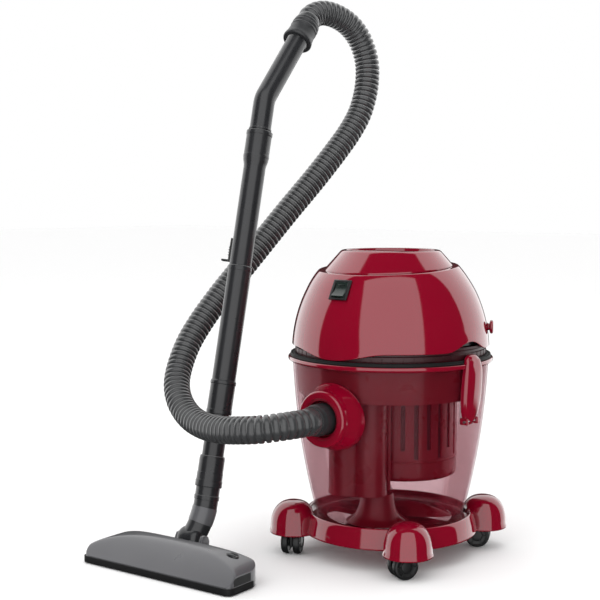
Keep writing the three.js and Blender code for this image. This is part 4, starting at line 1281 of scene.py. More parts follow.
@dataclass
class Tank:
    """The clear tank, its seal and its inlet."""

    wall: float = 3.0
    side_curve: tuple[tuple[float, float], ...] = ((112.0, 56.6), (127.0, 105.0), (145.0, 190.0), (150.2, 296.0))
    inlet_z: float = 229.0
    latch_angle: float = 86.0
    sides: int = 128

    def side(self, inset: float = 0.0, count: int = 20) -> Profile:
        """The wall's outline from foot to top, drawn in by some inset."""
        return [(r - inset, z) for r, z in curve_points(self.side_curve, count)]

    def radius_at(self, z: float) -> float:
        """The wall's outer radius at a height.

        Args:
            z: The height.

        Returns:
            The radius there.
        """
        line = self.side(count=60)
        for (r0, z0), (r1, z1) in zip(line, line[1:]):
            if z0 <= z <= z1:
                return r0 + (r1 - r0) * (z - z0) / (z1 - z0)
        return line[0][0] if z < line[0][1] else line[-1][0]

    def pockets(self) -> list[bmesh.types.BMesh]:
        """The room that each latch's hook needs in the lip and the seal."""
        return [
            moved(block((41.0, 49.3, 53.0), (0, -175.35, 299.5)), turn(side * self.latch_angle, "Z"))
            for side in (1, -1)
        ]

    def build(self, bench: Bench) -> None:
        """Builds the tank and what is fixed to it.

        Args:
            bench: The bench that finishes the pieces.
        """
        self.build_shell(bench)
        self.build_seal(bench)
        self.build_inlet(bench)
        self.build_duct(bench)

    def build_duct(self, bench: Bench) -> None:
        """Builds the duct's two rounded columns, and the moulding that one of them stands on.

        Args:
            bench: The bench that finishes the pieces.
        """
        columns = bmesh.new()
        for x, y, radius in ((-13.0, -91.0, 29.0), (21.0, -82.0, 25.0)):
            column = turned(
                [
                    (radius - 2.5, 105.0, 0.5), (radius + 0.8, 105.0, 0.8), (radius, 112.0, 3.0),
                    (radius, 180.0, 0.0),
                    (radius + 1.5, 250.0, 1.0), (radius - 1.0, 250.0, 0.5), (radius - 2.5, 180.0, 0.0),
                ],
                72,
            )
            joined(columns, moved(column, shift(x, y, 0)))
        back = block((78.0, 5.0, 140.0), (3.0, -59.0, 178.0), 2.0)
        bench.piece("inlet_column", joined(columns, back), MAROON, MACHINE_BODY, ["inlet_duct"], crease=45.0)
        foot = turned(
            [
                (0.0, 60.6, 0.0), (47.0, 60.6, 0.4), (44.0, 63.0, 4.0), (33.0, 70.0, 9.0), (26.5, 86.0, 12.0),
                (24.0, 104.0, 0.6), (0.0, 104.0, 0.0),
            ],
            72, closed=False,
        )
        ridge = turned([
            (0.0, 60.6, 0.0), (30.0, 60.6, 0.5), (24.0, 66.0, 8.0), (9.0, 78.0, 8.0), (0.0, 80.0, 0.0),
        ], 64, closed=False)
        moved(ridge, Matrix.Diagonal((2.3, 0.8, 1.0, 1.0)), turn(24, "Z"), shift(30.0, 8.0, 0))
        moved(foot, shift(19.0, -60.0, 0))
        bench.piece("floor_moulding", joined(foot, ridge), MAROON, MACHINE_BODY)

    def build_shell(self, bench: Bench) -> None:
        """Builds the clear shell, with its rolled lip, its stepped floor and the ears for the latches.

        Args:
            bench: The bench that finishes the pieces.
        """
        outside = [(r, z, 0.0) for r, z in self.side()[1:]]
        inside = [(r, z, 0.0) for r, z in self.side(self.wall)[1:]]
        corners = [
            (0.0, 70.0, 0.0), (36.0, 70.0, 6.0), (46.0, 57.2, 6.0), (112.0, 56.8, 5.0), *outside, (150.2, 306.0, 0.4),
            (147.2, 306.0, 1.2), *reversed(inside), (109.0, 60.2, 8.0),
            (49.0, 60.2, 6.0), (38.0, 73.0, 6.0), (0.0, 73.0, 0.0),
        ]
        shell = turned(corners, self.sides, closed=False)
        port = moved(plug(28.5, 80, 200, 48), FACE_FRONT, shift(0, 0, self.inlet_z))
        shell = carved(shell, [port, *self.pockets()])
        bench.piece("clear_tank", shell, CLEAR, MACHINE_BODY, ["tank_shell"], crease=30.0)
        lip = turned(
            [
                (150.4, 298.6, 0.3), (154.0, 298.9, 1.0), (157.3, 301.0, 1.4), (157.6, 304.6, 1.2),
                (156.4, 306.4, 0.9),
                (150.4, 306.1, 0.3),
            ],
            self.sides,
        )
        bench.piece("tank_lip", carved(lip, self.pockets()), CRIMSON, MACHINE_BODY, crease=60.0)
        ears = bmesh.new()
        for side in (1, -1):
            for x in (-1, 1):
                ear = block((4.0, 14.0, 10.0), (x * 12.7, -149.2, 221.0), 1.4)
                joined(ears, moved(ear, turn(side * self.latch_angle, "Z")))
        bench.piece("latch_ears", ears, CRIMSON, MACHINE_BODY)
        for side in ("right", "left"):
            bench.dress("latch_pin_" + side, STEEL)

    def build_seal(self, bench: Bench) -> None:
        """Builds the seal that lies on the lip, with its two beads."""
        seal = turned(
            [
                (145.2, 306.3, 0.8), (154.6, 306.3, 1.2), (154.6, 308.6, 0.6), (153.8, 309.2, 0.4),
                (153.8, 311.5, 1.0),
                (151.0, 311.5, 0.4), (150.6, 310.7, 0.3), (149.6, 310.7, 0.3), (149.2, 311.5, 0.4),
                (145.2, 311.5, 1.0),
            ],
            self.sides,
        )
        bench.piece("rim_seal", carved(seal, self.pockets()), RUBBER, MACHINE_BODY, ["tank_seal"])

    def build_inlet(self, bench: Bench) -> None:
        """Builds the flared collar, shaped to lie on the tank's wall, and the sleeve through it.

        Args:
            bench: The bench that finishes the pieces.
        """
        flare = turned(
            [
                (29.0, 90.0, 0.0), (50.5, 90.0, 0.0), (50.0, 146.0, 4.0), (45.6, 156.0, 5.0), (42.4, 164.0, 3.0),
                (41.8, 171.0, 2.0), (41.0, 174.4, 1.8), (38.6, 176.3, 1.6), (31.0, 176.0, 1.0),
                (28.6, 174.4, 0.8), (27.2, 174.0, 0.5), (27.2, 166.0, 0.8), (24.8, 166.0, 0.3), (24.8, 160.0, 0.0),
                (29.0, 158.0, 0.0),
            ],
            96,
        )
        back = [v for v in flare.verts if v.co.z < 91.0]
        moved(flare, FACE_FRONT, shift(0, 0, self.inlet_z))
        for vert in back:
            around = (self.radius_at(vert.co.z) + 0.5) ** 2 - vert.co.x**2
            vert.co.y = -math.sqrt(around)
        sleeve = turned([(23.8, 118.0, 0.5), (28.0, 118.0, 0.8), (28.0, 166.0, 0.3), (23.8, 166.0, 0.3)], 96)
        moved(sleeve, FACE_FRONT, shift(0, 0, self.inlet_z))
        bench.piece("inlet_flare", joined(flare, sleeve), CRIMSON, MACHINE_BODY, ["inlet_collar"], crease=42.0)


@dataclass
class FilterBasket:
    """The basket that hangs in the tank: rim, skirt, web and slotted cup."""

    tank: Tank
    wall: float = 2.5
    clearance: float = 2.4
    cup_radius: float = 85.0
    cup_back: float = 35.0
    slots: int = 26
    sides: int = 128

    def build(self, bench: Bench) -> None:
        """Builds the basket, its rim and the screen that stands inside it.

        Args:
            bench: The bench that finishes the pieces.
        """
        top = self.tank.side()[-1][0] - self.tank.wall - self.clearance
        low = self.tank.radius_at(246.0) - self.tank.wall - self.clearance
        w = self.wall
        body = turned(
            [
                (0.0, 260.0, 0.0), (low - w, 260.0, 2.0), (low - w, 250.0, 0.8), (low, 250.0, 0.8), (top, 296.0, 1.0),
                (top, 311.9, 0.5), (top - w, 311.9, 0.5), (top - w, 296.0, 0.5), (low - w + 0.2, 262.5, 1.0),
                (0.0, 262.5, 0.0),
            ],
            self.sides, closed=False,
        )
        rim = turned(
            [
                (top - w, 312.0, 0.4), (146.4, 312.0, 0.8), (146.4, 320.0, 0.5), (144.9, 321.0, 0.5),
                (144.9, 325.0, 0.5),
                (146.4, 326.0, 0.5), (146.4, 330.0, 0.8), (143.9, 330.0, 0.8), (143.9, 316.1, 0.8),
                (top - w, 314.0, 0.8),
            ],
            self.sides,
        )
        ribs = [moved(block((1.5, 1.4, 8.0), (0, -146.2, 316.6), 0.4, 2), turn(a, "Z")) for a in range(0, 360, 6)]
        # the rim wears the painted-shade maroon, darker to paint the shadow in the gap between the head's edge and the
        # seal
        bench.piece("basket_rim", joined(rim, *ribs), PAINTED_SHADE_MAROON, HEAD_BODY)
        screen = turned([(81.2, 150.0, 0.3), (82.2, 150.0, 0.3), (82.2, 242.0, 0.3), (81.2, 242.0, 0.3)], 72)
        # the screen wears the same painted-shade maroon as the rim
        bench.piece("filter_screen", moved(screen, shift(0, self.cup_back, 0)), PAINTED_SHADE_MAROON, HEAD_BODY)
        back = shift(0, self.cup_back, 0)
        mouth = plug(self.cup_radius - 1.2, 250, 270, 64)
        notch = block((61.0, 40.0, 14.1), (0, -130.2, 252.05))
        sleeve_room = moved(plug(30.5, 100, 160, 48), FACE_FRONT, shift(0, 0, 229))
        body = carved(body, [moved(mouth, back), notch, sleeve_room])
        cup = turned(
            [
                (0.0, 118.0, 0.0), (self.cup_radius, 118.0, 8.0), (self.cup_radius, 146.0, 0.0),
                (self.cup_radius + 1.0, 147.0, 0.4), (self.cup_radius + 1.0, 149.0, 0.4),
                (self.cup_radius, 150.0, 0.4),
                (self.cup_radius, 262.5, 0.5), (self.cup_radius - w, 262.5, 0.5), (self.cup_radius - w, 120.5, 7.0),
                (0.0, 120.5, 0.0),
            ],
            104, closed=False,
        )
        moved(cup, back)
        cutters = []
        for i in range(self.slots):
            angle = 360.0 * (i + 0.5) / self.slots
            low_z = 152.0 if i % 2 else 166.0
            slot = block((7.0, 12.0, 238.0 - low_z), (0, -self.cup_radius + 2, (238.0 + low_z) / 2), 1.0, 1)
            cutters.append(moved(slot, turn(angle, "Z"), back))
        whole = bmesh.new()
        for cutter in cutters:
            joined(whole, cutter)
        cup = carved(cup, [whole])
        bench.piece("basket", joined(body, cup), MAROON, HEAD_BODY, ["filter_basket"], crease=32.0)


# ---------------------------------------------------------------- the head


@dataclass
class Head:
    """The head: dome, cap, switch, cord pegs and gland, and the motor's parts inside."""

    edge_z: float = 324.0
    dome_curve: tuple[tuple[float, float], ...] = ((151.6, 324.0), (148.0, 385.0), (122.0, 425.0), (107.0, 442.0))
    wall: float = 3.0
    front_dip: float = 12.0
    dip_angle: float = 34.0
    latch_arch: float = 14.0
    arch_angle: float = 19.0
    warp_height: float = 30.0
    latch_angle: float = 86.0
    cap_z: float = 442.3
    seam_drop: float = 7.0
    peg_angle: float = 119.0
    peg_z: float = 352.0
    sides: int = 180

    def edge_shift(self, degrees: float) -> float:
        """How far the dome's lower edge rises or drops, at an angle from the front.

        Args:
            degrees: The direction, from the front.

        Returns:
            How far the edge is moved, in millimetres.
        """

        def bump(centre: float, half: float) -> float:
            """One smooth wave, 1 at its centre."""
            away = abs(degrees - centre) / half
            return math.cos(away * math.pi / 2) ** 2 if away < 1 else 0.0

        arch = bump(self.latch_angle, self.arch_angle) + bump(-self.latch_angle, self.arch_angle)
        return self.latch_arch * arch - self.front_dip * bump(0.0, self.dip_angle)

    def lean_seam(self, shape: bmesh.types.BMesh) -> bmesh.types.BMesh:
        """Drops the shoulder and the cap's foot at the front and raises them at the back, and gives the shape back."""
        for vert in shape.verts:
            flat = math.hypot(vert.co.x, vert.co.y)
            below = 1 - (self.cap_z - vert.co.z) / 34.0
            above = 1 - (vert.co.z - self.cap_z) / 24.0
            share = max(0.0, min(below, above, 1.0)) * min(1.0, flat / 95.0)
            rise = self.seam_drop * share * vert.co.y / max(flat, 1e-6)
            grown = 1 - 0.9 * rise / max(flat, 1e-6)
            vert.co = Vector((vert.co.x * grown, vert.co.y * grown, vert.co.z + rise))
        return shape

    def radius_at(self, z: float) -> float:
        """The dome's outer radius at a height.

        Args:
            z: The height.

        Returns:
            The radius there.
        """
        line = curve_points(self.dome_curve, 60)
        for (r0, z0), (r1, z1) in zip(line, line[1:]):
            if z0 <= z <= z1:
                return r0 + (r1 - r0) * (z - z0) / (z1 - z0)
        return line[-1][0]

    @property
    def switch_place(self) -> Matrix:
        """Where the switch sits on the dome, Z out of it.

        Returns:
            The place and the tilt, as a matrix.
        """
        a, b, c, d = (Vector(p) for p in self.dome_curve)
        t, s = 0.62, 0.38
        point = a * s**3 + b * (3 * s * s * t) + c * (3 * s * t * t) + d * t**3
        slope = (b - a) * (3 * s * s) + (c - b) * (6 * s * t) + (d - c) * (3 * t * t)
        tilt = math.degrees(math.atan2(slope.y, -slope.x))
        return shift(0, -point.x, point.y) @ turn(tilt, "X")

    def build(self, bench: Bench) -> None:
        """Builds the head.

        Args:
            bench: The bench that finishes the pieces.
        """
        self.build_dome(bench)
        self.build_cap(bench)
        self.build_switch(bench)
        self.build_pegs(bench)
        self.build_gland(bench)
        works = {
            "motor_plate": CHARCOAL, "fan_housing": SLATE, "fan": STEEL, "motor_stator": IRON, "motor_armature": STEEL,
            "motor_bearing_bracket": BLACK, "float_cage": BLACK, "float": FLOAT_CREAM, "foam_filter": FOAM,
        }
        for node, finish in works.items():
            bench.dress(node, finish)

    def build_dome(self, bench: Bench) -> None:
        """Builds the dome with its wavy edge, its shoulder and the hole for the switch.

        Args:
            bench: The bench that finishes the pieces.
        """
        outside = curve_points(self.dome_curve, 28)
        inside = [(r - self.wall, z) for r, z in outside[1:-2]]
        corners = [
            (62.0, 442.0, 0.6), (62.0, 439.0, 0.6), (104.0, 439.0, 1.0),
            *((r, z, 0.0) for r, z in reversed(inside)), (148.6, 324.0, 0.8), (151.6, 324.0, 1.3),
            *((r, z, 0.0) for r, z in outside[1:-1]), (107.0, 442.0, 1.6),
        ]
        dome = turned(corners, self.sides)
        top = self.edge_z + self.warp_height
        for vert in dome.verts:
            share = max(0.0, (top - vert.co.z) / self.warp_height)
            if share > 0:
                degrees = math.degrees(math.atan2(vert.co.x, -vert.co.y))
                vert.co.z += self.edge_shift(degrees) * share
        hole = moved(block((28.0, 28.0, 50.0), (0, 0, 0)), self.switch_place)
        bench.piece("head_dome", carved(self.lean_seam(dome), [hole]), CRIMSON, HEAD_BODY, ["head_shell"], crease=35.0)

    def build_cap(self, bench: Bench) -> None:
        """Builds the cap, with the carrying bar across the recess in its top.

        Args:
            bench: The bench that finishes the pieces.
        """
        z = self.cap_z
        cap = turned(
            [
                (0.0, z + 9.0, 0.0), (66.0, z + 9.0, 2.0), (70.0, z + 22.0, 2.0), (94.7, z, 0.6), (97.7, z, 0.8),
                (97.2, z + 1.6, 0.6), (77.4, z + 24.0, 1.4), (74.6, z + 26.0, 1.6), (69.2, z + 26.0, 1.4),
                (66.0, z + 12.0, 2.5), (0.0, z + 12.0, 0.0),
            ],
            self.sides, closed=False,
        )
        bar = block((136.0, 26.0, 13.5), (0, 0, z + 17.25), 3.5, 4)
        grooves = [block((70.0, 1.6, 1.2), (0, y, z + 24.0), 0.5, 2) for y in (-8.0, -4.0, 0.0, 4.0, 8.0)]
        bench.piece(
            "carrying_cap", joined(self.lean_seam(cap), carved(bar, grooves)), CRIMSON, HEAD_BODY, ["top_cap"],
            crease=35.0,
        )

    def build_switch(self, bench: Bench) -> None:
        """Builds the switch's frame and its rocker.

        Args:
            bench: The bench that finishes the pieces.
        """
        body = block((27.4, 27.4, 15.5), (0, 0, -6.25), 0.8)
        bezel = block((32.0, 32.0, 2.9), (0, 0, 2.25), 1.1)
        room = block((22.6, 26.0, 40.0), (0, 0, 8.0), 0.6, 2)
        slim = block((22.6, 26.0, 16.0), (0, 0, 4.0), 0.6, 2)
        surround = joined(carved(bezel, [room]), carved(body, [slim]))
        bench.piece("switch_surround", surround, BLACK, HEAD_BODY, ["switch_frame"], self.switch_place)
        rocker = bmesh.new()
        bmesh.ops.create_grid(rocker, x_segments=12, y_segments=20, size=0.5)
        bmesh.ops.scale(rocker, vec=(21.8, 24.0, 1.0), verts=rocker.verts[:])
        grown = bmesh.ops.extrude_face_region(rocker, geom=rocker.faces[:])["geom"]
        top = [g for g in grown if isinstance(g, bmesh.types.BMVert)]
        for vert in top:
            vert.co.z = 5.4 + 2.8 * (vert.co.y / 12.0) ** 2
        bmesh.ops.translate(rocker, vec=(0, 0, -3.0), verts=rocker.verts[:])
        bmesh.ops.recalc_face_normals(rocker, faces=rocker.faces[:])
        softened(rocker, 0.9, 50.0, 3)
        ridge = [block((12.0, 0.9, 0.9), (0, y, 3.3 + 0.025 * y * y), 0.3, 2) for y in (5.0, 7.0)]
        joined(rocker, *ridge)
        bench.piece(
            "rocker", moved(rocker, turn(-7, "X")), SWITCH_GREEN, "switch", ["rocker_switch"], self.switch_place,
        )

    def build_pegs(self, bench: Bench) -> None:
        """Builds the two pegs for the cord."""
        r = self.radius_at(self.peg_z)
        for name, side in (("right", 1), ("left", -1)):
            peg = turned(
                [
                    (0.0, r - 6, 0.0), (5.0, r - 6, 0.5), (5.0, r - 1.0, 0.5), (7.2, r, 1.0), (5.0, r + 1.5, 1.0),
                    (5.4, r + 3.4, 1.0), (9.6, r + 4.0, 1.4), (10.5, r + 6.2, 1.6), (9.8, r + 8.6, 1.6),
                    (7.0, r + 9, 1.0),
                    (0.0, r + 9, 0.0),
                ],
                48, closed=False,
            )
            place = turn(side * self.peg_angle, "Z") @ shift(0, 0, self.peg_z) @ FACE_FRONT
            bench.piece("cord_post_" + name, peg, CRIMSON, HEAD_BODY, ["cord_peg_" + name], place)

    def build_gland(self, bench: Bench) -> None:
        """Builds the ringed rubber gland at the back.

        Args:
            bench: The bench that finishes the pieces.
        """
        r = self.radius_at(self.peg_z)
        corners = [
            (4.0, r - 8, 0.3), (8.0, r - 8, 0.5), (8.0, r + 2, 0.2), (11.0, r + 2, 0.6), (11.0, r + 4, 0.8),
            (7.0, r + 5, 0.8),
        ]
        for i in range(4):
            z = r + 5.6 + i * 2.1
            width = 7.0 - i * 0.4
            corners += [
                (width - 1.2, z, 0.2), (width, z + 0.5, 0.3), (width - 0.1, z + 1.3, 0.3),
                (width - 1.3, z + 1.7, 0.2),
            ]
        corners.append((4.0, r + 14, 0.2))
        gland = turned(corners, 48)
        bench.piece(
            "cable_gland", moved(gland, turn(-90, "X"), shift(0, 0, self.peg_z)), RUBBER, HEAD_BODY, ["cord_gland"],
        )


@dataclass
class Latches:
    """The two long oval latches on the tank's sides."""

    angle: float = 86.0
    half_width: float = 21.5
    bottom_z: float = 214.8
    top_z: float = 319.5

    def build(self, bench: Bench) -> None:
        """Builds both latches.

        Args:
            bench: The bench that finishes the pieces.
        """
        for name, side in (("right", 1), ("left", -1)):
            latch = self.make_latch()
            bench.piece(
                "side_latch_" + name, latch, CRIMSON, "latch_" + name[0], ["latch_" + name],
                turn(side * self.angle, "Z"),
            )

    def make_latch(self) -> bmesh.types.BMesh:
        """Makes one latch, facing the front: an oval shield, bulging, with a pressed-in thumb rest.

        Returns:
            The latch's shape.
        """
        shape = bmesh.new()
        bmesh.ops.create_uvsphere(shape, u_segments=64, v_segments=36, radius=1.0)
        bmesh.ops.rotate(shape, cent=(0, 0, 0), matrix=Matrix.Rotation(math.pi / 2, 3, "X"), verts=shape.verts[:])
        middle = (self.bottom_z + self.top_z) / 2
        reach = (self.top_z - self.bottom_z) / 2
        for vert in shape.verts:
            x, out, up = vert.co.x, -vert.co.y, vert.co.z
            z = middle + up * reach
            wall = 145.9 + 5.6 * min(1.0, max(0.0, (z - 221.0) / 77.0))
            if z > 311.9:
                wall = 149.8
            power = 3.0 if up > 0 else 2.1
            ring = math.sqrt(max(1e-6, 1 - up * up))
            x *= max(0.0, 1 - abs(up) ** power) ** (1 / power) / ring
            if out > 0:
                bulge = 2.2 + 10.5 * out**0.7
                press = math.exp(-((up - 0.72) ** 2) / 0.02 - (x * 1.6) ** 2 * 2)
                depth = wall + bulge - 0.9 * press
            else:
                depth = wall
            vert.co = Vector((x * self.half_width, -depth, z))
        for vert in shape.verts:
            vert.co.z = max(self.bottom_z, vert.co.z)
        bmesh.ops.recalc_face_normals(shape, faces=shape.faces[:])
        return shape


# ---------------------------------------------------------------- the dolly


@dataclass
class Dolly:
    """The four-lobed dolly and its casters."""

    reach: float = 150.0
    lobe_bottom: float = 32.0
    sides: int = 128
    turned_by: tuple[tuple[str, int, int, float], ...] = (
        ("front_right", 1, -1, 150.0), ("front_left", -1, -1, 205.0), ("rear_right", 1, 1, 115.0),
        ("rear_left", -1, 1, 160.0),
    )

    def corners(self) -> list[tuple[str, float, float, float]]:
        """Each caster's name, place and turn."""
        out = self.reach / math.sqrt(2)
        return [(name, x * out, y * out, angle) for name, x, y, angle in self.turned_by]

    def build(self, bench: Bench) -> None:
        """Builds the dolly and the casters.

        Args:
            bench: The bench that finishes the pieces.
        """
        self.build_frame(bench)
        for name, x, y, angle in self.corners():
            place = shift(x, y, 0) @ turn(angle, "Z")
            self.build_caster(bench, name, place)

    def build_frame(self, bench: Bench) -> None:
        """Builds the ring, its ledge and cross, and the four lobes.

        Args:
            bench: The bench that finishes the pieces.
        """
        ring = turned(
            [
                (97.0, 52.3, 0.8), (122.0, 52.3, 1.0), (127.0, 34.0, 1.0), (135.4, 34.0, 1.2), (136.2, 36.5, 1.5),
                (133.6, 51.0, 6.0), (130.6, 60.0, 3.0), (127.4, 64.6, 2.0), (124.2, 64.2, 1.4), (123.0, 60.0, 1.0),
                (123.0, 56.3, 0.5), (97.0, 56.3, 0.8),
            ],
            self.sides,
        )
        arms = [block((246.0, 34.0, 8.8), (0, 0, 51.7), 1.5), block((34.0, 246.0, 8.7), (0, 0, 51.65), 1.5)]
        well = turned([(0, 56.3, 0), (121.7, 56.3, 0), (121.7, 100, 0), (0, 100, 0)], self.sides, False)
        lobes = []
        for _, x, y, _ in self.corners():
            lobe = turned(
                [
                    (0.0, self.lobe_bottom, 0.0), (36.6, self.lobe_bottom, 1.0), (37.2, 34.5, 1.4), (35.9, 38.5, 3.0),
                    (35.4, 50.0, 8.0), (32.6, 62.0, 8.0), (27.0, 71.5, 7.0), (19.0, 78.4, 6.0), (9.0, 81.6, 6.0),
                    (0.0, 82.0, 0.0),
                ],
                72, closed=False,
            )
            room = plug(31.5, 20, 60, 64)
            socket = plug(5.4, 50, 77, 32)
            lobes.append(moved(carved(lobe, [room, socket]), shift(x, y, 0)))
        rooms = []
        for _, x, y, _ in self.corners():
            rooms.append(moved(plug(31.5, 20, 60, 64), shift(x, y, 0)))
        cut_lobes = [carved(lobe, [well.copy()]) for lobe in lobes]
        ring = carved(ring, rooms)
        well.free()
        dolly = joined(ring, *arms, *cut_lobes)
        bench.piece("dolly_tray", dolly, CRIMSON, MACHINE_BODY, ["dolly_frame"], crease=34.0)

    def build_caster(self, bench: Bench, name: str, place: Matrix) -> None:
        """Builds one twin-wheel caster.

        Args:
            bench: The bench that finishes the pieces.
            name: Which corner it is at.
            place: Where it stands and how it is turned.
        """
        body = "caster_" + name
        hood = block((6.0, 30.0, 32.0), (0, 4.5, 27.0), 2.4, 4)
        bore = moved(plug(2.8, -20, 20, 24), turn(90, "Y"), shift(0, 8, 19.5))
        hood = carved(hood, [bore])
        plate = turned([(0, 42, 0), (13, 42, 1.0), (13, 46, 1.0), (5, 46, 0.6), (5, 76, 1.0), (0, 76, 0)], 48, False)
        bench.piece(f"caster_hood_{name}", joined(hood, plate), BLACK, body, [body + "_fork"], place)
        for label, side in (("a", 1), ("b", -1)):
            wheel = turned(
                [
                    (2.8, 4.0, 0.3), (8.0, 4.0, 0.4), (8.6, 5.4, 0.5), (14.5, 5.4, 0.5), (15.2, 4.0, 0.4),
                    (18.4, 4.0, 1.0),
                    (19.5, 5.4, 0.9), (19.5, 11.6, 1.6), (18.0, 14.2, 1.6), (15.6, 14.9, 0.6), (15.0, 13.2, 0.6),
                    (9.2, 12.6, 0.8), (8.4, 14.4, 0.8), (5.0, 15.0, 0.8), (2.8, 14.2, 0.3),
                ],
                64,
            )
            spokes = [moved(block((1.6, 8.0, 2.2), (0, 12.0, 13.6), 0.6, 2), turn(k * 60, "Z")) for k in range(6)]
            cap = turned([(0.0, 13.4, 0.0), (6.2, 13.4, 0.3), (5.6, 15.0, 0.6), (0.0, 15.3, 0.0)], 40, closed=False)
            joined(wheel, cap, *spokes)
            moved(wheel, turn(90 * side, "Y"), shift(0, 8, 19.5))
            bench.piece(f"wheel_{name}_{label}", wheel, BLACK, body + "_wheels", [f"{body}_wheel_{label}"], place)
        bench.dress(body + "_axle", STEEL)


# ---------------------------------------------------------------- the floor nozzle


@dataclass
class Nozzle:
    """The floor nozzle: body, sole, brush, bumper, pedal and the neck that it tilts on."""

    wand: Wand
    centre: tuple[float, float] = (-177.4, -302.7)
    half_width: float = 141.5
    front: float = -40.0
    back: float = 35.0
    height: float = 47.0
    end_height: float = 27.0
    pivot_y: float = 45.7
    pivot_z: float = 40.0
    columns: int = 112
    rows: int = 40

    @property
    def place(self) -> Matrix:
        """Where the nozzle stands and how it is turned."""
        return shift(self.centre[0], self.centre[1], 0) @ turn(self.wand.yaw, "Z")

    def half_width_at(self, y: float, grown: float = 0.0) -> float:
        """Half the plan's width at a distance from front to back.

        Args:
            y: The distance from the middle, towards the back.
            grown: How far the outline is grown.

        Returns:
            Half the width there.
        """
        w, front, back = self.half_width + grown, self.front - grown, self.back + grown
        if y < front + 9:
            return w - 9 + 9 * math.sqrt(max(0.0, 1 - ((front + 9 - y) / 9) ** 2))
        if y > back - 26:
            return w - 26 + 26 * math.sqrt(max(0.0, 1 - ((y - back + 26) / 26) ** 2)) ** 0.9
        return w

    def top_at(self, x: float, y: float) -> float:
        """The body's height at a place.

        Args:
            x: The distance to the right of the middle.
            y: The distance towards the back.

        Returns:
            The height of the top there.
        """
        u = min(1.0, abs(x) / self.half_width)
        face = self.end_height - 1.5 + (self.height - self.end_height + 1.5) * (1 - u**2.9) ** 0.8
        t = min(1.0, max(0.0, (y - self.front) / (10.0 - self.front)))
        rise = 11.8 + (self.height - 11.8) * math.sin(t * math.pi / 2) ** 1.02
        fall = max(0.0, (y - 14.0) / (self.back - 14.0))
        side = rise - 13.0 * fall**2.6
        return min(face, side) - 1.1 * math.exp(-abs(face - side) / 3.0)

    def build(self, bench: Bench) -> None:
        """Builds the nozzle.

        Args:
            bench: The bench that finishes the pieces.
        """
        self.build_body(bench)
        self.build_sole(bench)
        self.build_brush(bench)
        self.build_bumper(bench)
        self.build_pedal(bench)
        self.build_neck(bench)
        bench.dress("neck_pin", STEEL)

    def neck_line(self, start: float = 34.0) -> list[Vector]:
        """The neck's line in the nozzle's axes, from inside the collar round to the pivot.

        Args:
            start: How far up the wand the line begins.

        Returns:
            The line's points, in the nozzle's axes.
        """
        inward = self.place.inverted() @ self.wand.line
        top, bend, corner = (inward @ Vector((0, 0, s)) for s in (start, -6.0, -34.0))
        pivot = Vector((0, self.pivot_y, self.pivot_z))
        line = [top, top.lerp(bend, 0.5)]
        for i in range(13):
            t = i / 12
            line.append(bend * (1 - t) ** 2 + corner * (2 * t * (1 - t)) + pivot * t**2)
        return line

    def knuckle(self, radius: float, half: float) -> bmesh.types.BMesh:
        """A round bar across the neck's pivot."""
        bar = turned([(0, -half, 0), (radius, -half, 1.2), (radius, half, 1.2), (0, half, 0)], 64, False)
        return moved(bar, turn(90, "Y"), shift(0, self.pivot_y, self.pivot_z))

    def build_body(self, bench: Bench) -> None:
        """Builds the crowned body with a skirt, a wall, the two cheeks and the room for the neck and the pedal.

        Args:
            bench: The bench that finishes the pieces.
        """
        body = bmesh.new()
        bmesh.ops.create_grid(body, x_segments=self.columns, y_segments=self.rows, size=1.0)
        for vert in body.verts:
            u, v = vert.co.x, vert.co.y
            v = math.sin(v * math.pi / 2) * 0.55 + v * 0.45
            y = self.front + (self.back - self.front) * (v + 1) / 2
            x = (math.sin(u * math.pi / 2) * 0.3 + u * 0.7) * self.half_width_at(y)
            vert.co = Vector((x, y, self.top_at(x, y)))
        rim = [e for e in body.edges if e.is_boundary]
        grown = bmesh.ops.extrude_edge_only(body, edges=rim)["geom"]
        for vert in (g for g in grown if isinstance(g, bmesh.types.BMVert)):
            vert.co.z = 1.0
        bmesh.ops.recalc_face_normals(body, faces=body.faces[:])
        bevel_edges(body, [e for e in rim if e.is_valid], 1.4, 3)
        bmesh.ops.solidify(body, geom=body.faces[:], thickness=2.6)
        bmesh.ops.recalc_face_normals(body, faces=body.faces[:])
        line = self.neck_line()
        cutters = [self.knuckle(19.8, 20.8), swept(line, [19.6] * len(line), 48)]
        pedal_room = plug(1.0, 10, 60, 48)
        moved(pedal_room, Matrix.Diagonal((10.8, 7.8, 1.0, 1.0)), shift(104, 14, 0))
        body = carved(body, [*cutters, pedal_room], folded=True)
        cheeks = [moved(self.cheek(), shift(side * 23.8, 0, 0)) for side in (1, -1)]
        bench.piece("nozzle_shell", joined(body, *cheeks), SLATE, NOZZLE_BODY, ["nozzle_body"], self.place, crease=33.0)
        panels = joined(self.end_panel(1), self.end_panel(-1))
        bench.piece("nozzle_end_panels", panels, BLACK, NOZZLE_BODY, place=self.place)

    def end_panel(self, side: int) -> bmesh.types.BMesh:
        """The dark panel let into one end of the body.

        Args:
            side: 1 for the right end, -1 for the left.

        Returns:
            The panel.
        """
        shape = bmesh.new()
        places = [-30.0 + 3.4 * i for i in range(12)]
        top = [(y, self.top_at(self.half_width, y) - 1.6) for y in places]
        ring = [(y, z) for y, z in top if z > 12.6] + [(places[-1], 12.0), (places[0] + 1, 12.0)]
        face = shape.faces.new([shape.verts.new((side * (self.half_width - 0.6), y, z)) for y, z in ring])
        return thickened(shape, face, (side * 1.2, 0, 0))

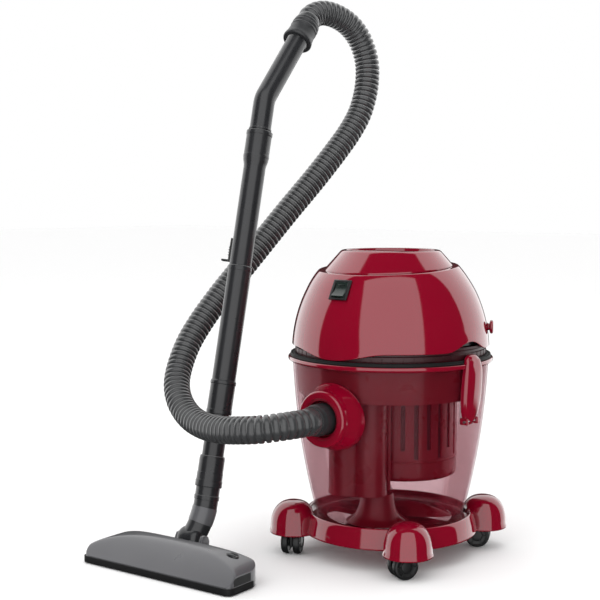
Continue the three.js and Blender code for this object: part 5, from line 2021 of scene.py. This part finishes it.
    def cheek(self) -> bmesh.types.BMesh:
        """One of the two cheeks that hold the neck's pin.

        Returns:
            The cheek.
        """
        shape = bmesh.new()
        outline = [
            (33.0, 9.0), (49.0, 17.0), (54.0, 30.0), (55.0, 39.0), (52.5, 45.5), (47.0, 48.6), (40.0, 48.0),
            (33.0, 34.0),
        ]
        face = shape.faces.new([shape.verts.new((-2.9, y, z)) for y, z in outline])
        thickened(shape, face, (5.8, 0, 0))
        bevel_edges(shape, shape.edges[:], 1.2, 3)
        boss = turned([(0, -3.6, 0), (6.0, -3.6, 0.8), (6.0, 3.6, 0.8), (0, 3.6, 0)], 40, False)
        joined(shape, moved(boss, turn(90, "Y"), shift(0, self.pivot_y, self.pivot_z)))
        return shape

    def outline(self, inset: float, count: int = 24) -> list[tuple[float, float]]:
        """The plan's outline, drawn in by some inset, front first.

        Args:
            inset: How far it is drawn in.
            count: Spans from front to back.

        Returns:
            The outline's points.
        """
        rows = []
        low, high = self.front + inset, self.back - inset
        for i in range(count + 1):
            t = (1 - math.cos(math.pi * i / count)) / 2
            y = low + (high - low) * t
            rows.append((self.half_width_at(y, -inset), y))
        return rows + [(-x, y) for x, y in reversed(rows)]

    def build_sole(self, bench: Bench) -> None:
        """Builds the sole with its suction slot, its brush slot and the rails that it glides on.

        Args:
            bench: The bench that finishes the pieces.
        """
        sole = bmesh.new()
        face = sole.faces.new([sole.verts.new((x, y, 0.2)) for x, y in self.outline(3.3)])
        thickened(sole, face, (0, 0, 2.8))
        slot = block((208.0, 16.0, 12.0), (0, -8.0, 2.0), 2.5, 3)
        brush_slot = block((218.0, 7.0, 12.0), (0, -27.0, 2.0), 1.0, 2)
        sole = carved(sole, [slot, brush_slot])
        rails = [block((1.6, 20.0, 1.2), (x, 14.0, 0.62), 0.4, 2) for x in range(-100, 101, 25)]
        bench.piece("nozzle_glide", joined(sole, *rails), CHARCOAL, NOZZLE_BODY, ["nozzle_sole"], self.place)

    def build_brush(self, bench: Bench) -> None:
        """Builds the brush strip: a rail with two rows of tufts.

        Args:
            bench: The bench that finishes the pieces.
        """
        strip = block((216.0, 5.0, 2.4), (0, -27.0, 7.7), 0.4, 2)
        tuft = bmesh.new()
        for i in range(88):
            for y, lean in ((-28.3, -0.5), (-25.7, 0.5)):
                one = bmesh.new()
                bmesh.ops.create_cone(one, cap_ends=True, segments=6, radius1=1.15, radius2=0.75, depth=6.6)
                bmesh.ops.translate(one, vec=(-105.3 + i * 2.42, y + lean * 0.4, 3.6), verts=one.verts[:])
                joined(tuft, one)
        bench.piece("bristle_strip", joined(strip, tuft), BRISTLE, "brush", ["nozzle_brush"], self.place)

    def build_bumper(self, bench: Bench) -> None:
        """Builds the soft bumper round the front and the ends.

        Args:
            bench: The bench that finishes the pieces.
        """
        bumper = bmesh.new()
        right = [p for p in self.outline(-0.4)[:25] if p[1] < 14.0]
        line = [(x, y) for x, y in reversed(right)] + [(-x, y) for x, y in right]
        verts = [bumper.verts.new((x, y, 1.6)) for x, y in line]
        edges = [bumper.edges.new(pair) for pair in zip(verts, verts[1:])]
        grown = bmesh.ops.extrude_edge_only(bumper, edges=edges)["geom"]
        bmesh.ops.translate(bumper, vec=(0, 0, 9.6), verts=[g for g in grown if isinstance(g, bmesh.types.BMVert)])
        bmesh.ops.recalc_face_normals(bumper, faces=bumper.faces[:])
        centre = bumper.faces[len(bumper.faces) // 2]
        if centre.normal.y > 0:
            bmesh.ops.reverse_faces(bumper, faces=bumper.faces[:])
        bmesh.ops.solidify(bumper, geom=bumper.faces[:], thickness=-2.3)
        bmesh.ops.recalc_face_normals(bumper, faces=bumper.faces[:])
        softened(bumper, 0.7, 50.0, 3)
        bench.piece("nozzle_buffer", bumper, RUBBER, NOZZLE_BODY, ["nozzle_bumper"], self.place)

    def build_pedal(self, bench: Bench) -> None:
        """Builds the rocking pedal with its two pads.

        Args:
            bench: The bench that finishes the pieces.
        """
        z = self.top_at(104, 14)
        pedal = turned([
            (0, 20, 0), (1.0, 20, 0.0), (1.0, z - 0.2, 0.1), (0.86, z + 0.9, 0.1), (0, z + 1.2, 0),
        ], 56, False)
        moved(pedal, Matrix.Diagonal((10.0, 7.0, 1.0, 1.0)))
        for y, size in ((3.4, 0.92), (-3.6, 1.0)):
            pad = turned([
                (0, z - 2, 0), (6.6, z - 2, 0.5), (6.2, z + 2.6, 1.6), (3.0, z + 3.6, 1.5), (0, z + 3.8, 0),
            ], 48, False)
            moved(pad, Matrix.Diagonal((1.35 * size, 0.52 * size, 1.0, 1.0)), shift(0, y, 0))
            joined(pedal, pad)
        lean = shift(104, 14, z) @ turn(7, "Y") @ shift(0, 0, -z)
        bench.piece("brush_pedal", moved(pedal, lean), CHARCOAL, "pedal", ["nozzle_pedal"], self.place)

    def build_neck(self, bench: Bench) -> None:
        """Builds the neck: the bent tube, its knuckle, and the step where it meets the collar.

        Args:
            bench: The bench that finishes the pieces.
        """
        line = self.neck_line()
        neck = piped(line, [18.0] * len(line), 3.0, 56)
        knuckle = turned(
            [(0, -20, 0), (9, -20, 1.0), (15.5, -17.5, 4.0), (18.4, -12, 4.0), (19, -5, 2.0),
             (19, 5, 2.0), (18.4, 12, 4.0),
             (15.5, 17.5, 4.0), (9, 20, 1.0), (0, 20, 0)],
            64, False,
        )
        moved(knuckle, turn(90, "Y"), shift(0, self.pivot_y, self.pivot_z))
        bore = swept([*self.neck_line(), *self.onward()], [14.8] * (len(line) + 2), 40)
        pin = moved(plug(3.3, -40, 40, 32), turn(90, "Y"))
        knuckle = carved(knuckle, [bore, moved(pin, shift(0, self.pivot_y, self.pivot_z))])
        inward = self.place.inverted() @ self.wand.line
        step = turned([(17.6, -4.0, 0.0), (18.9, -4.0, 0.6), (18.9, 2.0, 0.6), (17.6, 2.4, 0.0)], 64)
        bench.piece(
            "nozzle_elbow", joined(neck, knuckle, moved(step, inward)),
            CHARCOAL, WAND_BODY, ["nozzle_neck"], self.place,
        )
        cover = piped(line[4:10], [18.6, 18.8, 18.8, 18.8, 18.8, 18.6], 1.2, 56)
        bench.piece("elbow_cover", cover, SLATE, WAND_BODY, place=self.place)

    def onward(self) -> list[Vector]:
        """Two more points past the pivot, straight on into the nozzle.

        Returns:
            The two points.
        """
        line = self.neck_line()
        ahead = (line[-1] - line[-2]).normalized()
        return [line[-1] + ahead * 12.0, line[-1] + ahead * 24.0]


# ---------------------------------------------------------------- putting it together


def build_all(steps: Sequence[tuple[str, Callable[[], None]]]) -> None:
    """Runs each step in order and reports it.

    Args:
        steps: Each step's name and what it does.
    """
    for name, step in steps:
        log.info("building the %s", name)
        step()


def main() -> None:
    """Builds the studio and the machine, and logs how many pieces it made."""
    logging.basicConfig(level=logging.INFO, format="%(message)s")
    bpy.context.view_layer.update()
    bench = Bench.at_machine()
    studio = Studio()
    studio.set_camera(bench)
    wand = Wand()
    tank = Tank()
    build_all(
        [
            ("hose", lambda: HoseRun(wand).build(bench)),
            ("studio", studio.set_up),
            ("wand", lambda: wand.build(bench)),
            ("tank", lambda: tank.build(bench)),
            ("basket", lambda: FilterBasket(tank).build(bench)),
            ("head", lambda: Head().build(bench)),
            ("latches", lambda: Latches().build(bench)),
            ("dolly", lambda: Dolly().build(bench)),
            ("nozzle", lambda: Nozzle(wand).build(bench)),
        ]
    )
    log.info("%d pieces", len(bench.made))


if __name__ == "__main__":
    main()
